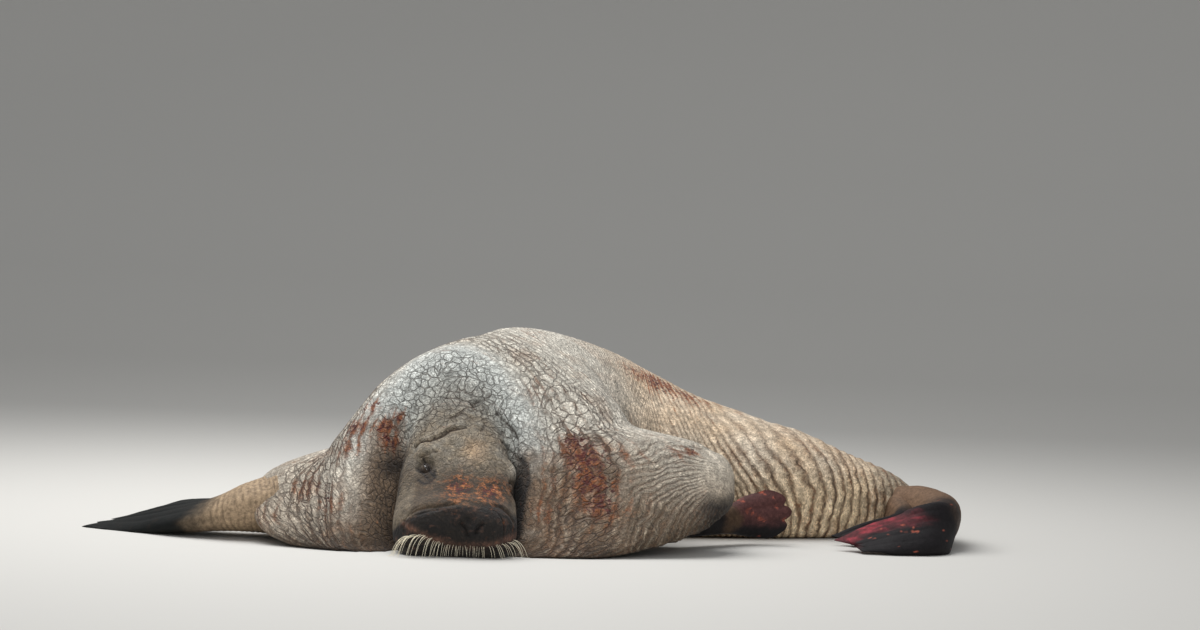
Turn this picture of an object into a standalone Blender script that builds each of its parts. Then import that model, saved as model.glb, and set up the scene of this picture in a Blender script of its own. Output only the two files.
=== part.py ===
"""A sleeping walrus, life size, lying on its belly with the head drawn back into the neck.

Everything is in metres and +Z is up.  The trunk is one tube of cross sections that follow a
guide line: the head looks along -Y and the hind body bends round to +X.  Each section is set by
a few sizes in ROWS.  Flippers are flattened tubes along their own paths.  The tube is closed
into named nodes at chosen rows, with a thin gap between neighbours.
"""
import math
import bpy
import numpy as np

for thing in list(bpy.data.objects):
    bpy.data.objects.remove(thing, do_unlink=True)

# Driving sizes in metres, angles in degrees.
GAP = 0.0003                # clear space between touching nodes
TURN_FROM = 0.42            # where the guide line starts to bend, from the muzzle
TURN_TO = 1.32              # where the bend ends
HEAD_HEADING = 90.0         # direction of the guide line at the head
TAIL_HEADING = 5.0          # and at the tail
SHIFT = (-0.1740, -0.6868)  # moves the origin to the middle of the floor outline
AROUND = 52                 # points round a section
BELLY_SPREAD = 0.72         # share of the lower section that curves before it lies flat
EYE_RADIUS = 0.0165
WHISKER_SEED = 7
WHISKERS_A_SIDE = 34

# The elbow pushes the animal's left side out, the sleeve of the other arm its right side.
ELBOW_OUT, ELBOW_MIDDLE, ELBOW_HALF = 0.255, 0.176, 0.172
SLEEVE_OUT, SLEEVE_MIDDLE, SLEEVE_HALF = 0.200, 0.105, 0.148

# name, step from the row before, place along the guide at the belly seam, at the foot of the
# flanks and at the back, height of the belly and of the back, centre, reach to the animal's left
# and right, height of the widest place, shape of the left and right flank, share of the elbow
# and of the sleeve
ROWS = (
    ("nose pole", 0.00, -0.055, -0.055, -0.055, 0.085, 0.085, -.025, -.025, -.025, 0.085, 0.90, 0.90, 0, 0),
    ("nose front", 0.06, -0.040, -0.040, -0.035, 0.040, 0.135, -.025, .060, -.110, 0.085, 0.90, 0.90, 0, 0),
    ("muzzle front", 0.06, -0.018, -0.018, -0.005, 0, 0.160, -.025, .122, -.172, 0.080, 0.80, 0.80, 0, 0),
    ("muzzle full", 0.06, 0.030, 0.030, 0.045, 0, 0.175, -.025, .150, -.200, 0.078, 0.75, 0.75, 0, 0),
    ("muzzle rear", 0.05, 0.070, 0.070, 0.095, 0, 0.205, -.030, .148, -.203, 0.085, 0.80, 0.80, 0, 0),
    ("eyes", 0.06, 0.105, 0.105, 0.165, 0, 0.270, -.037, .142, -.200, 0.120, 0.80, 0.80, 0, 0),
    ("forehead", 0.09, 0.130, 0.130, 0.265, 0, 0.355, -.050, .134, -.200, 0.150, 0.85, 0.85, 0, 0),
    ("crown", 0.10, 0.155, 0.155, 0.370, 0, 0.440, -.060, .120, -.195, 0.170, 0.90, 0.90, 0, 0),
    ("hood front", 0.10, 0.175, 0.045, 0.450, 0, 0.536, -.066, .172, -.280, 0.160, 1.00, 1.00, 0, 0),
    ("hood crest", 0.10, 0.215, 0.020, 0.530, 0, 0.583, -.050, .280, -.390, 0.160, 1.10, 1.25, 0, 0),
    ("neck", 0.13, 0.275, 0.040, 0.620, 0, 0.604, 0, .430, -.425, 0.150, 1.35, 1.80, 0.25, 0.3),
    ("shoulder front", 0.13, 0.335, 0.100, 0.720, 0, 0.618, .010, .500, -.430, 0.150, 1.45, 2.00, 0.9, 0.9),
    ("shoulders", 0.14, 0.415, 0.230, 0.820, 0, 0.622, .010, .520, -.425, 0.150, 1.45, 2.00, 1.0, 1.0),
    ("arm back", 0.16, 0.520, 0.420, 0.930, 0, 0.615, -.010, .500, -.420, 0.150, 1.30, 1.90, 0.7, 0.7),
    ("chest back", 0.16, 0.680, 0.650, 1.040, 0, 0.592, -.030, .450, -.445, 0.150, 1.15, 1.45, 0.1, 0.1),
    ("belly", 0.18, 0.930, 0.930, 1.170, 0, 0.550, -.030, .420, -.490, 0.150, 1.05, 1.15, 0, 0),
    ("loin", 0.20, 1.200, 1.200, 1.310, 0, 0.482, -.020, .380, -.440, 0.150, 1.00, 1.00, 0, 0),
    ("waist", 0.20, 1.450, 1.450, 1.470, 0, 0.408, -.010, .345, -.385, 0.145, 1.00, 1.00, 0, 0),
    ("hips", 0.18, 1.640, 1.640, 1.640, 0, 0.355, 0, .320, -.340, 0.140, 0.95, 0.95, 0, 0),
    ("rump", 0.18, 1.800, 1.800, 1.800, 0, 0.312, 0, .280, -.290, 0.130, 0.95, 0.95, 0, 0),
    ("tail root", 0.15, 1.940, 1.940, 1.930, 0, 0.255, 0, .225, -.235, 0.115, 0.95, 0.95, 0, 0),
    ("ankles", 0.14, 2.070, 2.070, 2.050, 0, 0.205, 0, .170, -.180, 0.100, 0.95, 0.95, 0, 0),
    ("tail", 0.09, 2.150, 2.150, 2.130, 0.010, 0.155, 0, .100, -.105, 0.085, 0.95, 0.95, 0, 0),
    ("tail tip", 0.06, 2.190, 2.190, 2.190, 0.070, 0.070, 0, 0, 0, 0.070, 0.95, 0.95, 0, 0),
)
FIELDS = ("seam", "along_low", "along_high", "low", "high", "centre", "left", "right", "widest",
          "left_shape", "right_shape", "elbow", "sleeve")
PLACE = np.cumsum([row[1] for row in ROWS])
ROW_SIZES = {field: [row[2 + i] for row in ROWS] for i, field in enumerate(FIELDS)}

LAST_ROW = PLACE[-1]

# Where one node ends and the next starts: a row in the fold round the face, then planes given
# by a point and the direction of the node that is cut off.
HEAD_CUT = 0.48
NECK_PLANE = ((0, 0.300, 0), (0, -1, 0.58))
CHEST_PLANE = ((0.26, 0.90, 0.3), (0.80, 0.60, 0))
LOIN_PLANE = ((0.78, 1.00, 0.2), (1, 0.07, 0))
HIP_PLANE = ((1.12, 1.00, 0.2), (1, 0.07, 0))
MUZZLE_BACK = 0.082
NOSE_X = 0.018
WHISKER_RADIUS = 0.0013
EYE_SUNK = 0.0095           # how far the middle of the eye lies under the skin
LID_RADIUS, LID_FORWARD = 0.0062, 0.0085
EYES = (("right", (-0.119, 0.150, 0.232), -50), ("left", (0.148, 0.155, 0.176), 24))
MOUTH_HEIGHT = 0.030        # the mouth line, above the floor
MOUTH_DEPTH = 0.125         # how far back the lower jaw shows as its own piece
ARM_LEFT_FROM = (0.490, 0.480)   # the left upper arm is right of this x and in front of this y
ARM_RIGHT_FROM = (-0.500, 0.640)

# Flippers: name, the nodes that it clears with a pocket, and path, direction of the width, half
# widths, half thicknesses, digits, depth between digits, how much one edge leads and how much
# both edges lead the middle.
FLIPPERS = (
    ("fore_flipper_right", ("upper_arm_right", "torso_front"), (
        ((-0.545, 0.32, 0.100), (-0.63, 0.31, 0.086), (-0.75, 0.33, 0.060), (-0.90, 0.41, 0.040),
         (-1.06, 0.50, 0.016)),
        ((0, -1, 0), (0, -1, 0.05), (-0.3, -1, -0.16), (-0.45, -0.9, -0.32), (-0.5, -0.8, -0.12)),
        (0.13, 0.125, 0.115, 0.120, 0.11), (0.095, 0.075, 0.046, 0.026, 0.006), 5, 0.05, 0.05, 0)),
    ("fore_flipper_left", ("upper_arm_left", "torso_front", "torso_rear"), (
        ((0.54, 0.385, 0.095), (0.64, 0.43, 0.082), (0.74, 0.515, 0.074), (0.835, 0.585, 0.086),
         (0.930, 0.600, 0.097)),
        ((0, 0, 1), (0, 0, 1), (0, 0.1, 1), (0, 0.1, 1), (0, 0.1, 1)),
        (0.060, 0.052, 0.042, 0.060, 0.075), (0.050, 0.045, 0.036, 0.028, 0.009), 3, 0.03, 0.004, -0.05)),
    ("hind_flipper_left", ("tail", "hips"), (
        ((1.30, 1.00, 0.088), (1.38, 0.90, 0.088), (1.415, 0.77, 0.083), (1.408, 0.62, 0.074),
         (1.335, 0.505, 0.058), (1.23, 0.472, 0.042), (1.125, 0.455, 0.022)),
        ((0, 0.3, 1), (0.1, 0.3, 1), (0.2, 0.3, 1), (0.2, 0.5, 0.85), (0, 0.82, 0.57), (0, 0.88, 0.47),
         (0, 0.94, 0.34)),
        (0.070, 0.080, 0.077, 0.078, 0.092, 0.084, 0.056),
        (0.075, 0.075, 0.070, 0.050, 0.036, 0.024, 0.008), 5, 0.014, 0.03, 0.04)),
    ("hind_flipper_right", ("tail", "hips"), (
        ((1.20, 1.04, 0.085), (1.285, 0.965, 0.080), (1.318, 0.85, 0.062), (1.285, 0.735, 0.046),
         (1.205, 0.66, 0.036), (1.115, 0.62, 0.020)),
        ((0, 0.4, 1), (0, 0.4, 1), (0.3, 0.4, 1), (0.2, 0.6, 0.8), (0, 0.77, 0.64), (0, 0.9, 0.43)),
        (0.060, 0.070, 0.058, 0.050, 0.048, 0.036), (0.065, 0.055, 0.042, 0.028, 0.018, 0.007),
        5, 0.014, 0.02, 0.03)),
)
# A flipper that lies against another one clears it too.
STACKED = (("hind_flipper_right", 2),)

# Soft forms of the head, each a mound or a dent: x, y, z, radius, height along the surface.
FORMS = (
    (0.072, -0.025, 0.078, 0.075, 0.016),     # left whisker pad
    (-0.112, -0.025, 0.078, 0.075, 0.016),    # right whisker pad
    (0.018, -0.050, 0.100, 0.030, -0.006),    # nose between the pads
    (-0.119, 0.154, 0.235, 0.042, -0.012),    # right eye socket
    (0.146, 0.158, 0.172, 0.045, -0.016),     # left eye socket
    (-0.120, 0.190, 0.280, 0.050, 0.014),     # right brow
    (0.125, 0.200, 0.230, 0.055, 0.014),      # left brow
    (-0.010, 0.230, 0.330, 0.080, 0.010),     # forehead
)
# Creases of the head: points x, y, z, then half width and depth.
CREASES = (
    (((-0.160, -0.005, 0.112), (-0.144, -0.018, 0.117), (-0.078, -0.028, 0.139), (0.004, -0.014, 0.154),
      (0.084, -0.005, 0.142), (0.139, 0.030, 0.118), (0.150, 0.050, 0.105)), 0.014, 0.003),
    (((0.010, 0.330, 0.400), (0.001, 0.261, 0.349), (-0.072, 0.224, 0.320), (-0.108, 0.206, 0.299),
      (-0.153, 0.207, 0.277)), 0.014, 0.006),
    (((0.010, 0.330, 0.400), (0.074, 0.326, 0.371), (0.111, 0.306, 0.321), (0.140, 0.270, 0.267)),
     0.014, 0.006),
    (((-0.020, -0.052, 0.090), (0.018, -0.052, 0.060), (0.018, -0.050, 0.030)), 0.010, 0.004),
)


def ramp(x, start, end):
    """A smooth step from 0 at start to 1 at end."""
    part = np.clip((x - start) / (end - start), 0.0, 1.0)
    return part * part * (3 - 2 * part)


def through(places, values, x):
    """A smooth curve through the values that never swings past them."""
    places = np.asarray(places, float)
    values = np.asarray(values, float)
    width = np.diff(places)
    slope = np.diff(values) / width
    tangent = np.zeros_like(values)
    same = slope[:-1] * slope[1:] > 0
    both = np.where(same, slope[:-1] + slope[1:], 1.0)
    tangent[1:-1] = np.where(same, 2 * slope[:-1] * slope[1:] / both, 0.0)
    tangent[0] = slope[0]
    tangent[-1] = slope[-1]
    i = np.clip(np.searchsorted(places, x, side="right") - 1, 0, len(width) - 1)
    part = (x - places[i]) / width[i]
    square = part * part
    cube = square * part
    start = (2 * cube - 3 * square + 1) * values[i] + (cube - 2 * square + part) * width[i] * tangent[i]
    end = (3 * square - 2 * cube) * values[i + 1] + (cube - square) * width[i] * tangent[i + 1]
    return start + end


def unit(vectors):
    """Vectors of length one."""
    return vectors / np.maximum(np.linalg.norm(vectors, axis=-1, keepdims=True), 1e-12)


def guide(along):
    """Plan place and heading of the guide line at a distance along it."""
    fine = np.linspace(-0.1, 2.6, 2701)
    part = np.clip((fine - TURN_FROM) / (TURN_TO - TURN_FROM), 0, 1)
    turned = 0.5 * part + 0.5 * part * part * (3 - 2 * part)
    heading = np.radians(HEAD_HEADING + (TAIL_HEADING - HEAD_HEADING) * turned)
    middle = (heading[1:] + heading[:-1]) / 2
    step = fine[1] - fine[0]
    x = np.concatenate([[0], np.cumsum(np.cos(middle)) * step])
    y = np.concatenate([[0], np.cumsum(np.sin(middle)) * step]) - 0.1
    return np.interp(along, fine, x), np.interp(along, fine, y), np.interp(along, fine, heading)


def sections(rows):
    """Close section curves: distance along the guide, across it to the left, and height.

    Each starts at the belly seam, climbs the animal's left side and comes down its right side.
    """
    half = 240
    up_left = np.linspace(-math.pi / 2, math.pi / 2, half + 1)
    angle = np.concatenate([up_left, up_left[1:] + math.pi])[None]
    size = {field: through(PLACE, ROW_SIZES[field], rows)[:, None] for field in FIELDS}
    sine = np.sin(angle)
    side = np.abs(np.cos(angle))
    rise = np.clip(sine, 0, 1)
    fall = np.clip(-sine, 0, 1)
    curl = 1 - (1 - np.clip(fall / BELLY_SPREAD, 0, 1)) ** 2
    above = size["widest"] + (size["high"] - size["widest"]) * rise ** 0.97
    below = size["widest"] - (size["widest"] - size["low"]) * curl
    height = np.where(sine >= 0, above, below)
    left = np.cos(angle) > 0
    shape = np.where(left, size["left_shape"], size["right_shape"])
    shape = 0.75 + (shape - 0.75) * ramp(rise, 0.0, 0.45)
    reach = np.where(left, size["left"], size["right"]) - size["centre"]
    across = size["centre"] + reach * side ** shape
    flank = ramp(side, 0.05, 0.5)
    round_off = np.where(height < ELBOW_MIDDLE, 2.2, 4.0)
    elbow = np.clip(1 - (np.abs(height - ELBOW_MIDDLE) / ELBOW_HALF) ** round_off, 0, 1)
    sleeve = np.clip(1 - (np.abs(height - SLEEVE_MIDDLE) / SLEEVE_HALF) ** 3, 0, 1)
    across = across + np.where(left, ELBOW_OUT * size["elbow"] * elbow, 0) * flank
    across = across - np.where(left, 0, SLEEVE_OUT * size["sleeve"] * sleeve) * flank
    share = np.clip((height - size["low"]) / np.maximum(size["high"] - size["low"], 1e-6), 0, 1)
    edge = np.clip(np.abs(across - size["centre"]) / np.maximum(0.76 * np.abs(reach), 1e-6), 0, 1)
    inner = 1 - edge ** (4 + 6 * (1 - ramp(rows, 0.48, 0.62)))[:, None]
    foot = size["along_low"] + (size["seam"] - size["along_low"]) * inner * (1 - ramp(height, 0.0, 0.04))
    along = foot + (size["along_high"] - foot) * share
    return along, across, height


def evenly(along, across, height, count):
    """The section curves again, with count points spread evenly round each."""
    half = across.shape[1] // 2
    share = np.linspace(0, 1, count // 2 + 1)
    sides = []
    for part in (slice(0, half + 1), slice(half, 2 * half + 1)):
        curves = np.stack([along[:, part], across[:, part], height[:, part]], -1)
        weight = np.array([0.55, 1.0, 1.0])
        steps = np.linalg.norm(np.diff(curves, axis=1) * weight, axis=-1) + 1e-9
        length = np.concatenate([np.zeros((len(curves), 1)), np.cumsum(steps, 1)], 1)
        length = length / length[:, -1:]
        rows = [[np.interp(share, length[i], curves[i, :, k]) for k in range(3)] for i in range(len(curves))]
        sides.append(np.array(rows).transpose(0, 2, 1)[:, :-1])
    return np.concatenate(sides, 1)


def outward(points):
    """Outward directions on a grid whose columns close on themselves."""
    along = np.gradient(points, axis=0)
    around = np.roll(points, -1, 1) - np.roll(points, 1, 1)
    return unit(np.cross(along, around))


def distance_to_line(points, corners):
    """Shortest distance from each point to a line through the corners."""
    best = np.full(points.shape[:-1], 9.0)
    for a, b in zip(corners[:-1], corners[1:]):
        a = np.array(a)
        edge = np.array(b) - a
        share = np.clip(((points - a) @ edge) / (edge @ edge), 0, 1)
        gap = np.linalg.norm(points - a - share[..., None] * edge, axis=-1)
        best = np.minimum(best, gap)
    return best


def trunk(rows, count):
    """The skin of head, neck, trunk and tail as a grid of points."""
    flat = evenly(*sections(rows), count)
    x, y, heading = guide(flat[..., 0])
    across = flat[..., 1]
    points = np.stack([x + np.sin(heading) * across, y - np.cos(heading) * across, flat[..., 2]], -1)
    normal = outward(points)
    push = np.zeros(points.shape[:-1])
    for x, y, z, radius, height in FORMS:
        near = np.clip(np.linalg.norm(points - np.array((x, y, z)), axis=-1) / radius, 0, 1)
        push = push + height * (1 - near ** 2) ** 2 * (1 - ramp(rows, 0.40, 0.465))[:, None]
    for corners, half_width, depth in CREASES:
        push = push - depth * np.exp(-(distance_to_line(points, corners) / half_width) ** 2)
    points = points + normal * push[..., None]
    points[..., 2] = np.maximum(points[..., 2], 0.0)
    return points


def flipper(path, across, widths, thicknesses, digits, lobe_depth, lean, fork, swell, steps, count):
    """A flattened tube along a path that ends in rounded digits side by side."""
    places = np.linspace(0, 1, len(path))
    share = np.linspace(0, 1, steps)
    middle = np.stack([through(places, [p[i] for p in path], share) for i in range(3)], -1)
    ahead = unit(np.gradient(middle, axis=0))
    wide = np.stack([through(places, [p[i] for p in across], share) for i in range(3)], -1)
    wide = unit(wide - (wide * ahead).sum(-1, keepdims=True) * ahead)
    thick = np.cross(wide, ahead)
    half_width = (through(places, widths, share) + swell)[:, None]
    half_thick = (through(places, thicknesses, share) + swell)[:, None]
    angle = np.linspace(0, 2 * math.pi, count, endpoint=False)[None]
    side = np.sign(np.cos(angle)) * np.abs(np.cos(angle)) ** 0.9
    face = np.sign(np.sin(angle)) * np.abs(np.sin(angle)) ** 0.9
    spread = ramp(share, 0.45, 1.0)[:, None]
    phase = ((side + 1) / 2 * digits) % 1.0 * 2 - 1
    lobe = np.sqrt(np.clip(1 - phase ** 2, 0, 1))
    reach = spread * (lobe_depth * (lobe - 1) + lean * side + fork * (side ** 2 - 0.5))
    half_thick = half_thick * (1 + (3 * lobe_depth + 0.05) * spread * (lobe - 0.6))
    middle[0] = middle[0] - ahead[0] * swell
    points = (middle[:, None] + wide[:, None] * (half_width * side)[..., None]
              + thick[:, None] * (half_thick * face)[..., None] + ahead[:, None] * reach[..., None])
    points[..., 2] = np.maximum(points[..., 2], 0.0 if swell == 0 else -swell)
    return points


def closed_mesh(name, grid, first=None, last=None):
    """A closed object from a grid of rings, with an end point for each end."""
    rings, count = grid.shape[:2]
    first = grid[0].mean(0) if first is None else np.array(first)
    last = grid[-1].mean(0) if last is None else np.array(last)
    points = np.concatenate([grid.reshape(-1, 3), [first], [last]])
    index = np.arange(rings * count).reshape(rings, count)
    turned = np.roll(index, -1, 1)
    a, b, c, d = index[:-1], turned[:-1], turned[1:], index[1:]
    faces = np.concatenate([np.stack([a, d, c], -1).reshape(-1, 3), np.stack([a, c, b], -1).reshape(-1, 3)])
    start = np.full(count, rings * count)
    end = start + 1
    faces = np.concatenate([faces, np.stack([start, index[0], turned[0]], -1),
                            np.stack([end, turned[-1], index[-1]], -1)])
    return new_object(name, points, faces)


def new_object(name, points, faces):
    """A mesh object whose faces point outwards."""
    corners = points[faces]
    volume = (corners[:, 0] * np.cross(corners[:, 1], corners[:, 2])).sum()
    if volume < 0:
        faces = faces[:, ::-1]
    mesh = bpy.data.meshes.new(name)
    mesh.from_pydata(points.tolist(), [], faces.tolist())
    mesh.update()
    thing = bpy.data.objects.new(name, mesh)
    bpy.context.scene.collection.objects.link(thing)
    return thing


def box(name, low, high):
    """A plain box, used only to cut with."""
    corners = np.array([(x, y, z) for x in (low[0], high[0]) for y in (low[1], high[1]) for z in (low[2], high[2])])
    quads = ((0, 1, 3, 2), (4, 6, 7, 5), (0, 4, 5, 1), (2, 3, 7, 6), (0, 2, 6, 4), (1, 5, 7, 3))
    faces = np.array([tri for q in quads for tri in ((q[0], q[1], q[2]), (q[0], q[2], q[3]))])
    return new_object(name, corners, faces)


def ball(name, centre, radii, steps=10, count=16):
    """A closed round form with its poles along Y."""
    polar = np.linspace(0, math.pi, steps + 1)[1:-1, None]
    angle = np.linspace(0, 2 * math.pi, count, endpoint=False)[None]
    around = np.sin(polar)
    grid = np.stack([around * np.cos(angle) * radii[0], -np.cos(polar) * radii[1] + 0 * angle,
                     around * np.sin(angle) * radii[2]], -1)
    centre = np.array(centre)
    end = np.array((0, radii[1], 0))
    return closed_mesh(name, grid + centre, centre - end, centre + end)


def combine(target, how, cutter, solver="MANIFOLD"):
    """Apply one Boolean with an object or a collection and remove what it used."""
    step = target.modifiers.new("combine", "BOOLEAN")
    step.operation = how
    step.solver = solver
    is_collection = isinstance(cutter, bpy.types.Collection)
    if is_collection:
        step.operand_type = "COLLECTION"
        step.collection = cutter
    else:
        step.object = cutter
    graph = bpy.context.evaluated_depsgraph_get()
    mesh = bpy.data.meshes.new_from_object(target.evaluated_get(graph))
    target.modifiers.clear()
    mesh.name = target.name
    target.data = mesh
    used = list(cutter.objects) if is_collection else [cutter]
    for thing in used:
        bpy.data.objects.remove(thing, do_unlink=True)
    if is_collection:
        bpy.data.collections.remove(cutter)
    keep_largest(target)


def keep_largest(thing):
    """Keep only the closed surface that holds the most space, as triangles."""
    mesh = thing.data
    mesh.calc_loop_triangles()
    faces = np.empty(len(mesh.loop_triangles) * 3, int)
    mesh.loop_triangles.foreach_get("vertices", faces)
    faces = faces.reshape(-1, 3)
    points = np.empty(len(mesh.vertices) * 3)
    mesh.vertices.foreach_get("co", points)
    points = points.reshape(-1, 3)
    label = np.arange(len(points))
    while True:
        low = label[faces].min(1)
        new = label.copy()
        for corner in range(3):
            np.minimum.at(new, faces[:, corner], low)
        new = new[new]
        if (new == label).all():
            break
        label = new
    groups = label[faces[:, 0]]
    corners = points[faces]
    volume = (corners[:, 0] * np.cross(corners[:, 1], corners[:, 2])).sum(1)
    names = np.unique(groups)
    best = max(names, key=lambda g: abs(volume[groups == g].sum()))
    faces = faces[groups == best]
    used, faces = np.unique(faces, return_inverse=True)
    faces = faces.reshape(-1, 3)
    fresh = bpy.data.meshes.new(mesh.name)
    fresh.from_pydata(points[used].tolist(), [], faces.tolist())
    fresh.update()
    thing.data = fresh


def copy_of(thing, name):
    """A separate object with the same mesh."""
    twin = bpy.data.objects.new(name, thing.data.copy())
    bpy.context.scene.collection.objects.link(twin)
    return twin


def half_space(name, point, direction, size=4.0):
    """A big box on the far side of a plane through a point; direction points into the box."""
    ahead = unit(np.array(direction, float))
    side = unit(np.cross(ahead, (0.0, 0.3, 1.0)))
    up = np.cross(side, ahead)
    cutter = box(name, (0, -size / 2, -size / 2), (size, size / 2, size / 2))
    points = np.empty(24)
    cutter.data.vertices.foreach_get("co", points)
    points = points.reshape(-1, 3)
    placed = np.array(point) + points[:, :1] * ahead + points[:, 1:2] * side + points[:, 2:] * up
    faces = np.array([list(face.vertices) for face in cutter.data.polygons])
    bpy.data.objects.remove(cutter, do_unlink=True)
    return new_object(name, placed, faces)


def split(thing, name, point, direction):
    """Cut what lies beyond a plane off into a new node, half the gap to each side."""
    ahead = unit(np.array(direction, float)) * GAP * 0.5
    far = copy_of(thing, name)
    combine(far, "INTERSECT", half_space("cutter", np.array(point) + ahead, direction))
    combine(thing, "DIFFERENCE", half_space("cutter", np.array(point) - ahead, direction))
    return far


def split_box(thing, name, low, high):
    """Cut what lies in a box off into a new node."""
    near = copy_of(thing, name)
    half = GAP * 0.5
    combine(near, "INTERSECT", box("cutter", np.array(low) + half, np.array(high) - half))
    combine(thing, "DIFFERENCE", box("cutter", np.array(low) - half, np.array(high) + half))
    return near


def ring_normal(ring):
    """The direction that a ring of points faces."""
    middle = ring.mean(0)
    return unit(np.cross(ring - middle, np.roll(ring, -1, 0) - middle).sum(0))


# The trunk in two lengths that meet in the deep fold round the face.
HEAD_ROWS = np.concatenate([np.linspace(0.010, 0.24, 12), np.linspace(0.262, HEAD_CUT, 11)])
BODY_ROWS = np.concatenate([np.linspace(HEAD_CUT, 0.84, 9), np.linspace(0.90, LAST_ROW - 0.008, 31)])
front_grid = trunk(HEAD_ROWS, AROUND)
rear_grid = trunk(BODY_ROWS, AROUND)
back = ring_normal(rear_grid[0])
back = back * np.sign(back[1]) * GAP * 0.5
front_grid[-1] = front_grid[-1] - back
rear_grid[0] = rear_grid[0] + back
front_grid[..., 2] = np.maximum(front_grid[..., 2], 0.0)
rear_grid[..., 2] = np.maximum(rear_grid[..., 2], 0.0)
head = closed_mesh("head", front_grid)
torso_front = closed_mesh("torso_front", rear_grid)
pocket_grid = front_grid + outward(front_grid) * GAP * 1.3
pocket_grid[-1] = pocket_grid[-1] + back * 4
combine(torso_front, "DIFFERENCE", closed_mesh("pocket", pocket_grid))

# Lower jaw and muzzle come off the head.
lower_jaw = split_box(head, "lower_jaw", (-1, -1, -1), (1, MOUTH_DEPTH, MOUTH_HEIGHT))
muzzle = split(head, "muzzle", (0, MUZZLE_BACK, 0.1), (0, -1, 0))

# Both upper arms come off the chest, then the trunk is divided along its length.
upper_arm_left = split_box(torso_front, "upper_arm_left", (ARM_LEFT_FROM[0], -1, -1),
                           (2, ARM_LEFT_FROM[1], 0.42))
upper_arm_right = split_box(torso_front, "upper_arm_right", (-2, -1, -1),
                            (ARM_RIGHT_FROM[0], ARM_RIGHT_FROM[1], 0.28))
neck = split(torso_front, "neck", NECK_PLANE[0], NECK_PLANE[1])
torso_rear = split(torso_front, "torso_rear", CHEST_PLANE[0], CHEST_PLANE[1])
hips = split(torso_rear, "hips", LOIN_PLANE[0], LOIN_PLANE[1])
tail = split(hips, "tail", HIP_PLANE[0], HIP_PLANE[1])

# Eyes sit in sockets between a fold of lid above and below.
fine = trunk(np.linspace(0.02, HEAD_CUT, 90), 240)
fine_normal = outward(fine)
for side, place, tilt in EYES:
    row, column = np.unravel_index(np.argmin(np.linalg.norm(fine - np.array(place), axis=-1)), fine.shape[:2])
    ahead = fine_normal[row, column]
    middle = fine[row, column] - ahead * EYE_SUNK
    eye = ball("eye_" + side, middle, (EYE_RADIUS,) * 3)
    level = unit(np.cross((0, 0, 1), ahead))
    above = np.cross(ahead, level)
    turn = math.radians(tilt)
    level, above = (level * math.cos(turn) + above * math.sin(turn),
                    above * math.cos(turn) - level * math.sin(turn))
    lids = bpy.data.collections.new("lids")
    bpy.context.scene.collection.children.link(lids)
    for sign in (1, -1):
        angle = np.linspace(math.radians(-12), math.radians(192), 13)[:, None]
        arc = middle + ahead * LID_FORWARD + EYE_RADIUS * 1.06 * (np.cos(angle) * level
                                                                + 0.72 * sign * np.sin(angle) * above)
        out = unit(arc - middle)
        size = LID_RADIUS * (0.45 + 0.55 * np.sin(np.linspace(0.15, math.pi - 0.15, 13)))[:, None, None]
        turn_round = np.linspace(0, 2 * math.pi, 6, endpoint=False)[None, :, None]
        along_arc = unit(np.gradient(arc, axis=0))
        third = np.cross(along_arc, out)
        tube = arc[:, None] + size * (np.cos(turn_round) * out[:, None] + np.sin(turn_round) * third[:, None])
        lid = closed_mesh("lid", tube)
        bpy.context.scene.collection.objects.unlink(lid)
        lids.objects.link(lid)
    combine(head, "UNION", lids)
    combine(head, "DIFFERENCE", ball("socket", middle, (EYE_RADIUS + GAP,) * 3))

# Nostrils are two slanted slits between the pads.
for sign in (1, -1):
    slit = ball("slit", (0, 0, 0), (0.0045, 0.022, 0.013), 6, 8)
    points = np.array([vertex.co[:] for vertex in slit.data.vertices])
    lean = math.radians(28 * sign)
    turned = np.stack([points[:, 0] * math.cos(lean) + points[:, 2] * math.sin(lean), points[:, 1],
                       points[:, 2] * math.cos(lean) - points[:, 0] * math.sin(lean)], -1)
    turned = turned + np.array((NOSE_X + sign * 0.015, -0.058, 0.083))
    slit.data.vertices.foreach_set("co", turned.ravel())
    combine(muzzle, "DIFFERENCE", slit)

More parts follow.
